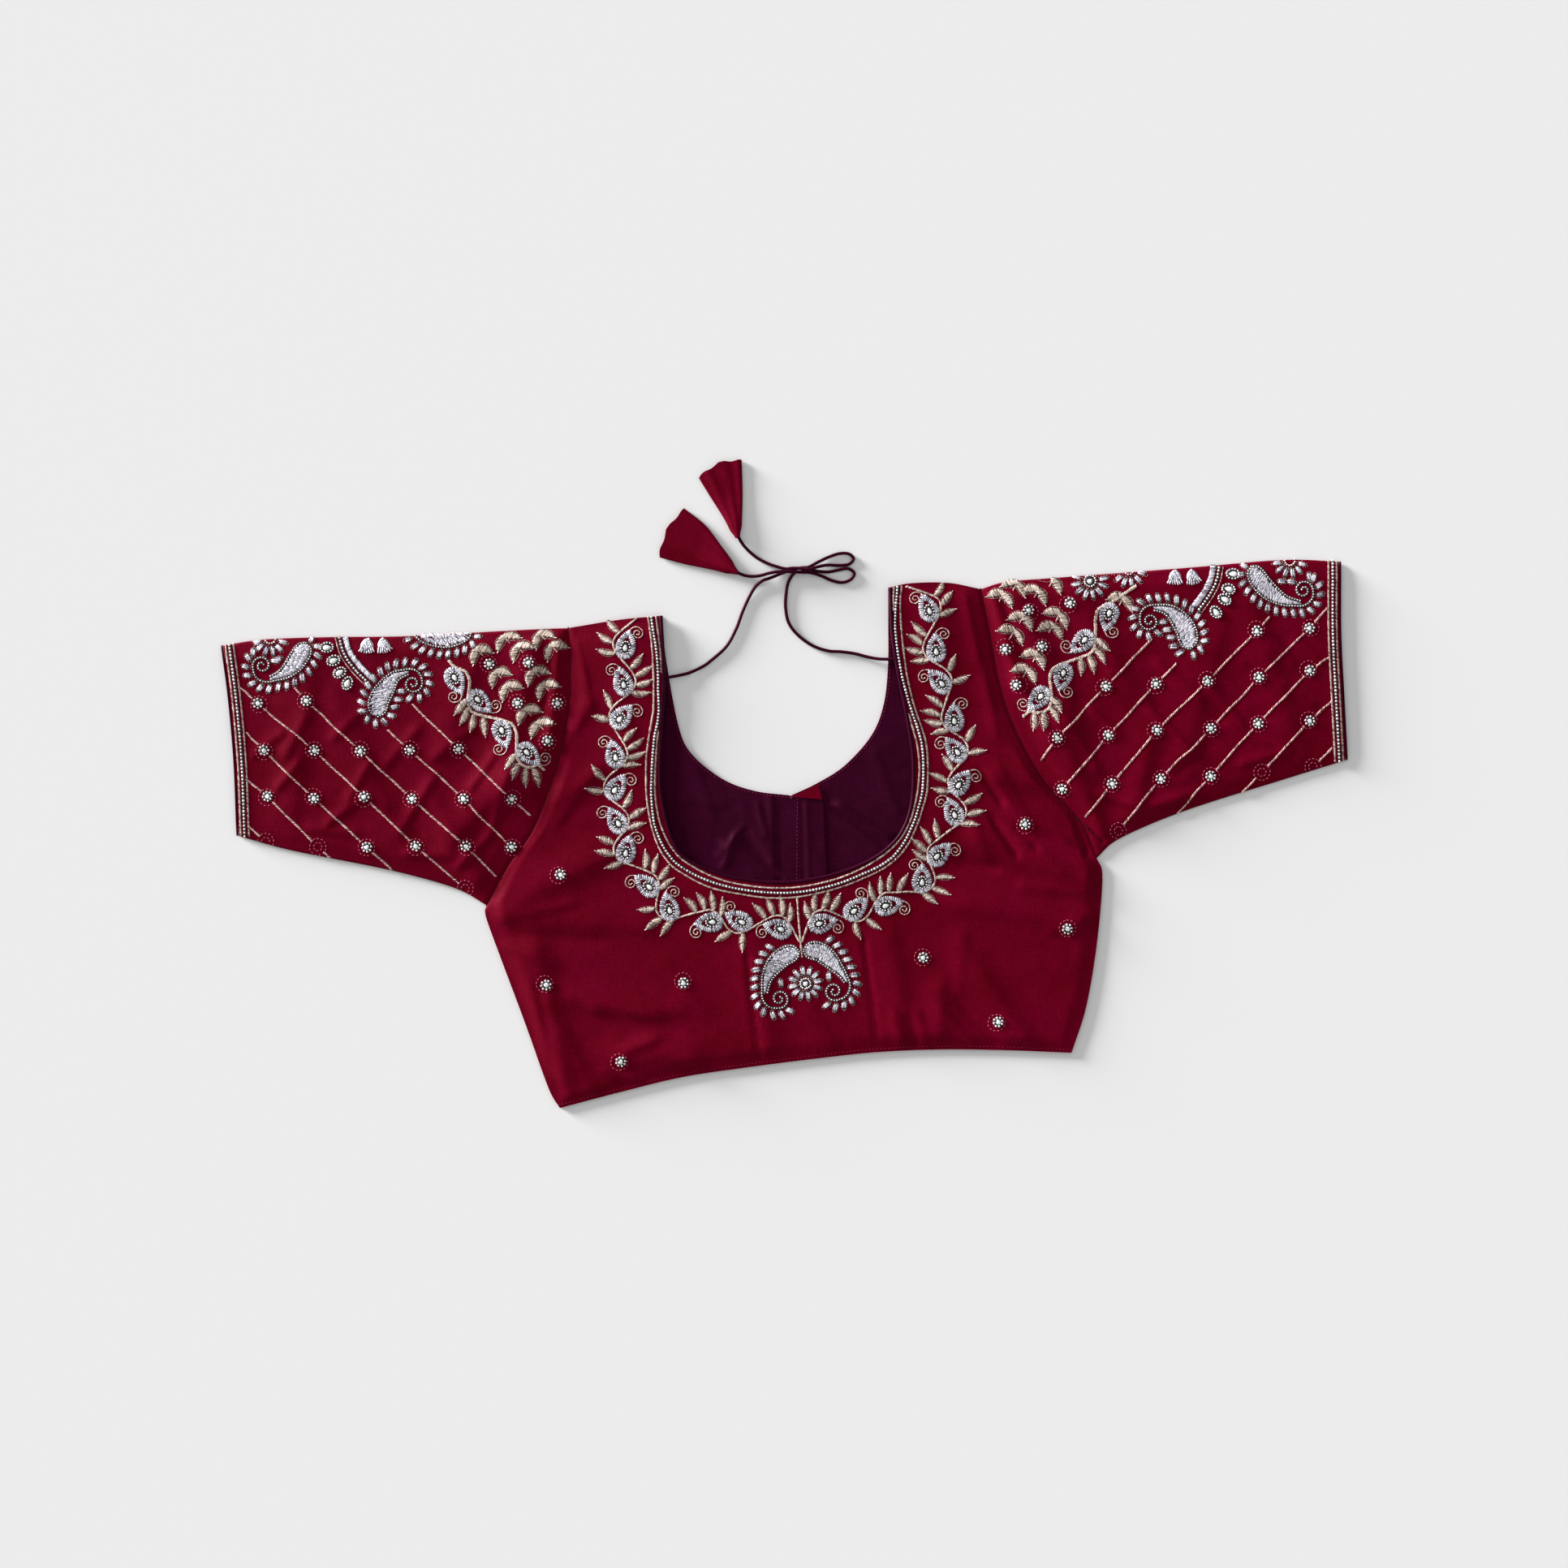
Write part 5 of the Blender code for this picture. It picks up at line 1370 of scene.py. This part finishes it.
def spray(work, x, y, mirror):
    """Two full leaves from one point, with a short stem of two stitches beside them."""
    level, down = (-16.0, -111.0) if mirror > 0 else (184.0, -68.0)
    leaf(work, (x - mirror * 0.6, y - 0.3), math.radians(level + draw.normal(0, 4)), 13.0, 6.7,
         0.9 * mirror, 1.3)
    leaf(work, (x + mirror * 0.4, y - 0.2), math.radians(down + draw.normal(0, 4)), 12.8, 6.4,
         -0.9 * mirror, 1.2)
    work["fine_rope"].append(np.array([(x, y - 1.0), (x + mirror * 3.6, y - 6.0)]))


# Turning stitches into meshes

def unit_ball(name, around, up, lying=False):
    """A ball one unit across to be placed many times, its poles on top or at its two ends."""
    work = bmesh.new()
    bmesh.ops.create_uvsphere(work, u_segments=around, v_segments=up, radius=0.5)
    if lying:
        bmesh.ops.rotate(work, verts=work.verts, matrix=Matrix.Rotation(math.pi / 2, 3, "Y"))
        bmesh.ops.scale(work, verts=work.verts, vec=(1.0, 1.15, 1.15))
    mesh = bpy.data.meshes.new(name)
    work.to_mesh(mesh)
    work.free()
    mesh.shade_smooth()
    return bpy.data.objects.new(name, mesh)


def cut_stone(name):
    """A drop shaped stone one unit long with a flat table and a ring of facets."""
    outline = teardrop(1.0, 1.0, 0.0, 12)
    points = np.vstack([np.c_[outline, np.zeros(12)], np.c_[outline * 0.86, np.full(12, 0.3)],
                        np.c_[outline * 0.5 + (-0.03, 0), np.full(12, 0.5)]])
    faces = []
    for level in (0, 12):
        for at in range(12):
            after = (at + 1) % 12
            faces.append([level + at, level + after, level + 12 + after, level + 12 + at])
    faces.append(list(range(24, 36)))
    faces.append(list(range(11, -1, -1)))
    mesh = bpy.data.meshes.new(name)
    mesh.from_pydata(points.tolist(), [], faces)
    return bpy.data.objects.new(name, mesh)


def new_tree(name, sockets):
    tree = bpy.data.node_groups.new(name, "GeometryNodeTree")
    tree.interface.new_socket("Geometry", in_out="INPUT", socket_type="NodeSocketGeometry")
    for label, kind in sockets:
        tree.interface.new_socket(label, in_out="INPUT", socket_type="NodeSocket" + kind)
    tree.interface.new_socket("Geometry", in_out="OUTPUT", socket_type="NodeSocketGeometry")
    return tree, add_node(tree, "NodeGroupInput").outputs


def finish_tree(tree, instances, material):
    """Gives each stitch its own tone, makes all of them one mesh and sets its thread."""
    tone = add_node(tree, "FunctionNodeRandomValue", {"Seed": 3}, data_type="FLOAT")
    toned = add_node(tree, "GeometryNodeStoreNamedAttribute", {
        "Geometry": instances, "Name": "tone", "Value": tone.outputs[1]}, domain="INSTANCE")
    plain = add_node(tree, "GeometryNodeRealizeInstances", {
        "Geometry": toned.outputs["Geometry"]})
    painted = add_node(tree, "GeometryNodeSetMaterial",
                       {"Geometry": plain.outputs["Geometry"], "Material": material})
    add_node(tree, "NodeGroupOutput", {0: painted.outputs["Geometry"]})


def stitch_tree():
    """Places one stitch on every point, turned and sized by the point's own values."""
    tree, given = new_tree("stitches_on_points", [("Stitch", "Object"), ("Thread", "Material")])
    shape = add_node(tree, "GeometryNodeObjectInfo", {"Object": given["Stitch"]})
    turn = add_node(tree, "GeometryNodeInputNamedAttribute", {"Name": "turn"},
                    data_type="FLOAT_VECTOR")
    size = add_node(tree, "GeometryNodeInputNamedAttribute", {"Name": "size"},
                    data_type="FLOAT_VECTOR")
    spun = add_node(tree, "FunctionNodeEulerToRotation", {"Euler": turn.outputs["Attribute"]})
    placed = add_node(tree, "GeometryNodeInstanceOnPoints", {
        "Points": given["Geometry"], "Instance": shape.outputs["Geometry"],
        "Rotation": spun.outputs["Rotation"], "Scale": size.outputs["Attribute"]})
    finish_tree(tree, placed.outputs["Instances"], given["Thread"])
    return tree


def path_tree():
    """Lays stitches along lines at an even spacing, each leaning across the line."""
    tree, given = new_tree("stitches_along_lines", [
        ("Stitch", "Object"), ("Thread", "Material"), ("Spacing", "Float"), ("Lean", "Float"),
        ("Size", "Vector"), ("Unevenness", "Float"), ("Seed", "Int")])
    shape = add_node(tree, "GeometryNodeObjectInfo", {"Object": given["Stitch"]})
    curve = add_node(tree, "GeometryNodeMeshToCurve", {"Mesh": given["Geometry"]})
    even = add_node(tree, "GeometryNodeResampleCurve", {
        "Curve": curve.outputs["Curve"], "Length": given["Spacing"]}, mode="LENGTH")
    tangent = add_node(tree, "GeometryNodeInputTangent")
    along = add_node(tree, "FunctionNodeAlignRotationToVector",
                     {"Vector": tangent.outputs["Tangent"]}, axis="X", pivot_axis="Z")
    less = maths(tree, "SUBTRACT", 1.0, given["Unevenness"])
    more = maths(tree, "ADD", 1.0, given["Unevenness"])
    vary = add_node(tree, "FunctionNodeRandomValue", {
        2: less, 3: more, "Seed": given["Seed"]}, data_type="FLOAT")
    lean = maths(tree, "MULTIPLY", given["Lean"], vary.outputs[1])
    around = add_node(tree, "ShaderNodeCombineXYZ", {"Z": lean})
    turn = add_node(tree, "FunctionNodeEulerToRotation", {"Euler": around.outputs["Vector"]})
    spun = add_node(tree, "FunctionNodeRotateRotation", {
        0: along.outputs["Rotation"], 1: turn.outputs["Rotation"]}, rotation_space="LOCAL")
    size = add_node(tree, "ShaderNodeVectorMath", {
        0: given["Size"], "Scale": vary.outputs[1]}, operation="SCALE")
    placed = add_node(tree, "GeometryNodeInstanceOnPoints", {
        "Points": even.outputs["Curve"], "Instance": shape.outputs["Geometry"],
        "Rotation": spun.outputs["Rotation"], "Scale": size.outputs["Vector"]})
    finish_tree(tree, placed.outputs["Instances"], given["Thread"])
    return tree


def grown(name, mesh, tree, values):
    """Runs a node tree over a mesh and keeps the result as a plain mesh object."""
    seed = add_object(name + "_seed", mesh)
    modifier = seed.modifiers.new("grow", "NODES")
    modifier.node_group = tree
    for socket in tree.interface.items_tree:
        if socket.in_out == "INPUT" and socket.name in values:
            modifier[socket.identifier] = values[socket.name]
    view = bpy.context.evaluated_depsgraph_get()
    made = add_object(name, bpy.data.meshes.new_from_object(seed.evaluated_get(view)))
    seed.modifiers.remove(modifier)
    bpy.data.objects.remove(seed)
    return made


def cloth_tree(*names):
    """One search tree over the named pieces of cloth, in metres."""
    points, faces = [], []
    for name in names:
        mesh = bpy.data.objects[name].data
        faces += [[index + len(points) for index in face.vertices] for face in mesh.polygons]
        points += [tuple(place) for place in vertex_places(mesh)]
    return BVHTree.FromPolygons(points, faces)


DOWN = Vector((0, 0, -1))
PROBE_HEIGHT = 0.05
FLATTEST = 0.35
# Wide pieces are left out where the cloth ends this near them; lines are laid in these steps
WIDE_STITCH = 3.5
WIDE_CLEAR = ((4, 0), (-4, 0), (0, 4), (0, -4))
LINE_STEP = 0.8


def on_cloth(cloth, x, y):
    """Height and slope of the cloth under a point in millimetres, or nothing beside it."""
    place, normal, _, _ = cloth.ray_cast(Vector((x * MM, y * MM, PROBE_HEIGHT)), DOWN)
    if place is None or normal.z < FLATTEST:
        return None
    return place, normal


def point_stitches(name, rows, cloth, shape, look, tall, lift):
    """Lays stitches given by rows on the cloth, each flat on the slope where it lies."""
    rows = np.vstack(rows)
    places, turns, sizes = [], [], []
    for x, y, turn, length, width in rows:
        found = on_cloth(cloth, x, y)
        wide = min(length, width) > WIDE_STITCH
        if found is None or (wide and any(on_cloth(cloth, x + right, y + up) is None
                                          for right, up in WIDE_CLEAR)):
            continue
        place, normal = found
        way = Vector((math.cos(turn), math.sin(turn), 0.0))
        way = (way - normal * way.dot(normal)).normalized()
        side = normal.cross(way)
        spin = np.array([way, side, normal]).T
        thick = tall * (width if tall < 1 else 1.0)
        places.append(place + normal * lift * MM)
        turns.append((math.atan2(spin[2, 1], spin[2, 2]), -math.asin(spin[2, 0]),
                      math.atan2(spin[1, 0], spin[0, 0])))
        sizes.append((length * MM, width * MM, thick * MM))
    mesh = bpy.data.meshes.new(name)
    mesh.from_pydata([tuple(place) for place in places], [], [])
    for label, values in (("turn", turns), ("size", sizes)):
        field = mesh.attributes.new(label, "FLOAT_VECTOR", "POINT")
        field.data.foreach_set("vector", np.array(values, float).ravel())
    return grown(name, mesh, POINT_TREE, {"Stitch": shape, "Thread": look})


def line_stitches(name, lines, cloth, shape, look, spacing, lean, size, lift, seed):
    """Lays stitches along lines on the cloth; a line breaks where it leaves the cloth."""
    points, edges = [], []
    for line in lines:
        line = np.asarray(line, float)
        before = None
        for x, y in even_points(line, max(1, round(reach(line)[-1] / LINE_STEP))):
            found = on_cloth(cloth, x, y)
            if found is None:
                before = None
                continue
            points.append(tuple(found[0] + found[1] * lift * MM))
            if before is not None:
                edges.append((before, len(points) - 1))
            before = len(points) - 1
    mesh = bpy.data.meshes.new(name)
    mesh.from_pydata(points, edges, [])
    return grown(name, mesh, PATH_TREE, {
        "Stitch": shape, "Thread": look, "Spacing": spacing * MM, "Lean": math.radians(lean),
        "Size": [value * MM for value in size], "Unevenness": 0.14, "Seed": seed})


STITCH = unit_ball("stitch_shape", 6, 3, lying=True)
BEAD = unit_ball("bead_shape", 8, 4)
SPECK = unit_ball("speck_shape", 4, 2)
PATCH = unit_ball("patch_shape", 12, 2)
STONE = cut_stone("stone_shape")
POINT_TREE = stitch_tree()
PATH_TREE = path_tree()


# What each kind of stitch is made of: shape, thread, height (a share of its width under 1, or
# millimetres) and lift off the cloth
POINT_LOOKS = {
    # ground: flat patches of near black thread under beads and stitches, part thread and part painted
    # shade round them
    "ground": (PATCH, thread_and_shade, 0.05, 0.05),
    "pad": (PATCH, silver, 0.12, 0.2),
    "silver": (STITCH, silver, 0.75, 0.35),
    "gold": (STITCH, gold, 0.75, 0.3),
    "bead": (BEAD, glass, 0.95, 0.7),
    "stone": (STONE, stone, 0.55, 0.2),
    "dash": (STITCH, pink_thread, 0.8, 0.15),
    "dot": (SPECK, gold, 0.8, 0.2),
}
# The same for lines: shape, thread, spacing, lean in degrees, size and lift
LINE_LOOKS = {
    "rope": (STITCH, gold, 1.35, 38.0, (2.45, 1.0, 0.7), 0.3),
    "rose_rope": (STITCH, rose, 1.3, 40.0, (2.6, 0.95, 0.6), 0.25),
    "fine_rope": (STITCH, gold, 1.15, 22.0, (1.5, 0.75, 0.6), 0.25),
    "bead_line": (BEAD, glass, 2.0, 0.0, (1.2, 1.2, 1.1), 0.6),
    # Painted shade: dark stitches along the ditch of a seam
    "ditch": (STITCH, seam_shade_paint, 1.1, 0.0, (1.7, 1.0, 0.22), 0.02),
    "sewing": (STITCH, seam_thread, 2.8, 0.0, (1.7, 0.5, 0.3), 0.12),
}


def sew(region, work, cloth, slot):
    """Makes one object of each kind of stitch in a region."""
    for kind, (shape, look, tall, lift) in POINT_LOOKS.items():
        if work[kind]:
            settle(point_stitches(region + "_" + kind, work[kind], cloth, shape, look, tall,
                                  lift), slot)
    for number, (kind, (shape, look, spacing, lean, size, lift)) in enumerate(LINE_LOOKS.items()):
        if work[kind]:
            settle(line_stitches(region + "_" + kind, work[kind], cloth, shape, look, spacing,
                                 lean, size, lift, number), slot)
    # The bead thread is laid wider than the beads, so it also paints the shade between and round them
    if work["bead_line"]:
        settle(line_stitches(region + "_bead_thread", work["bead_line"], cloth, STITCH,
                             thread_and_shade, 0.9, 0.0, (1.8, 2.1, 0.5), 0.15, 5), slot)


def border(name, node, lines, beads, pitch, cloth):
    """Couched gold lines with a strung row of beads between them."""
    # The thread under the beads is wider than them and also paints the shade round them
    parts = [line_stitches(name + "_lines", lines, cloth, STITCH, gold, 1.3, 42.0,
                           (2.15, 0.85, 0.7), 0.3, 1),
             line_stitches(name + "_thread", [beads], cloth, STITCH, thread_and_shade, 1.0, 0.0,
                           (2.0, 2.3, 0.5), 0.12, 2),
             line_stitches(name + "_beads", [beads], cloth, BEAD, glass, pitch, 0.0,
                           (1.8, 1.8, 1.7), 0.85, 3)]
    with bpy.context.temp_override(active_object=parts[0], selected_editable_objects=parts):
        bpy.ops.object.join()
    parts[0].name = name
    settle(parts[0], "bead_border", node)


def neck_lines():
    """The gold lines and the bead row of the neck border, at the distances in its table."""
    edge = smooth_curve(NECK_BACK, 900)
    rows = np.array(NECK_BORDER)
    shares = np.linspace(0, 1, len(edge))
    near, beads, far = (np.interp(shares, rows[:, 0], rows[:, column]) for column in (1, 2, 3))
    wave = 0.3 * np.sin(shares * 60 + 2 * np.sin(shares * 17))
    shown = np.flatnonzero(near > 0.8)
    runs = np.split(shown, np.flatnonzero(np.diff(shown) > 1) + 1)
    inner = sideways(edge, -near)
    return [inner[run] for run in runs] + [sideways(edge, -far + wave)], sideways(edge, -beads)


def motifs(region, *rows):
    """The stitches that a region's tables list, worked in this order."""
    work = new_work()
    for row in rows:
        paisley_row(work, PAISLEY_ROWS[row])
    for x, y, size in FLOWERS[region]:
        flower(work, x, y, size)
    for row in COMMAS[region]:
        comma(work, *row)
    for x, y, degrees in LONE_BARS[region]:
        bar(work, (x, y), math.radians(degrees))
    for x, y, degrees in FANS.get(region, []):
        fan(work, x, y, degrees)
    if region in ARCS:
        arc_band(work, ARCS[region])
    for x, y, degrees in DROPS.get(region, []):
        drop_stone(work, x, y, degrees)
    for chain in LATTICE.get(region, []):
        lattice(work, chain)
    for centre in BUTTIS[region]:
        butti(work, centre)
    for x, y in SPRAYS.get(region, []):
        spray(work, x, y, 1 if region == "left" else -1)
    return work


def embroider():
    back = cloth_tree("back_cloth")
    work = motifs("neck", "neck_left", "neck_right")
    work["rope"].append(smooth_curve(NECK_STEM, 40))
    work["sewing"].append(sideways(smooth_curve(HEM, 300), HEM_SEWING_IN))
    sew("neck", work, back, "bead_border")
    inside = new_work()
    inside["sewing"] = [np.array(STRIP_SEAM),
                        sideways(smooth_curve(NECK_FRONT_LEFT, 100), -LINING_SEWING_IN),
                        sideways(smooth_curve(NECK_FRONT_RIGHT, 100), LINING_SEWING_IN)]
    sew("lining", inside, cloth_tree("lining_left_cloth", "lining_right_cloth",
                                     "hook_strip_cloth"), "dark_lining")
    lines, beads = neck_lines()
    border("neck_bead_border", "neck_border", lines, beads, BEAD_PITCH["neck"], back)
    for side, mirror in (("left", 1), ("right", -1)):
        cloth = cloth_tree("sleeve_" + side + "_cloth")
        sew("sleeve_" + side, motifs(side, "sleeve_" + side), cloth, "bead_border")
        seam = new_work()
        # Painted shade along the armhole seam, and on the right sleeve along its fold under the arm
        seam["ditch"] = [smooth_curve(SLEEVES[side]["armhole"], 200)]
        if side == "right":
            seam["ditch"].append(smooth_curve(UNDERARM_FOLD, 40))
        sew("armhole_" + side, seam, cloth_tree("back_cloth", "sleeve_" + side + "_cloth"),
            "maroon_silk")
        edge = smooth_curve(SLEEVES[side]["cuff"], 300)
        near, beads, far = (sideways(edge, distance * mirror) for distance in CUFF_BORDER)
        border("cuff_bead_border_" + side, "cuff_border_" + side, [near, far], beads,
               BEAD_PITCH["cuff"], cloth)


# Camera, light and floor

def make_stage():
    floor_mesh = bpy.data.meshes.new("floor")
    corners = [(x * FLOOR_REACH, y * FLOOR_REACH, 0)
               for x, y in ((-1, -1), (1, -1), (1, 1), (-1, 1))]
    floor_mesh.from_pydata(corners, [], [(0, 1, 2, 3)])
    floor = add_object("floor", floor_mesh)
    floor.location.z = -FLOOR_DROP
    # Matt pale grey board with no texture, so that only shadows show on it.
    board, _, _ = new_material("pale_grey_board", Roughness=0.9, Specular_IOR_Level=0.1,
                               Base_Color=linear("#ebebeb"))
    floor_mesh.materials.append(board)

    world = bpy.data.worlds.new("studio")
    bpy.context.scene.world = world
    world.use_nodes = True
    tree = world.node_tree
    sky = add_node(tree, "ShaderNodeTexCoord").outputs["Generated"]
    height = add_node(tree, "ShaderNodeSeparateXYZ", {"Vector": sky}).outputs["Z"]
    ramp = add_node(tree, "ShaderNodeValToRGB", {"Fac": height})
    low, high = ramp.color_ramp.elements
    low.position, low.color = 0.15, linear("#959597")
    high.position, high.color = 0.95, linear("#ffffff")
    background = tree.nodes["Background"]
    tree.links.new(ramp.outputs["Color"], background.inputs["Color"])
    background.inputs["Strength"].default_value = SKY_STRENGTH

    lamp = bpy.data.lights.new("soft_window", "SUN")
    lamp.energy = SUN_STRENGTH
    lamp.angle = math.radians(SUN_WIDTH)
    window = add_object("soft_window", lamp)
    window.rotation_euler = (0, math.radians(SUN_TILT), math.radians(SUN_TURN))

    view = bpy.data.cameras.new("camera")
    view.sensor_width = 36.0
    view.lens = 36.0 * CAMERA_HEIGHT / (PHOTO_WIDTH * MM)
    view.clip_end = 20.0
    camera = add_object("camera", view)
    camera.location = (PHOTO_MIDDLE[0] * MM, PHOTO_MIDDLE[1] * MM, CAMERA_HEIGHT)
    camera.rotation_euler = (0, 0, math.radians(-PHOTO_TURN))
    bpy.context.scene.camera = camera
    bpy.context.scene.view_settings.view_transform = "Standard"
    bpy.context.scene.view_settings.look = "None"


make_stage()
make_cords({"left": make_tassel("upper"), "right": make_tassel("lower")})
make_back()
make_sleeve("left", -10.0)
make_sleeve("right", 5.0)
make_fronts()
make_linings()
embroider()
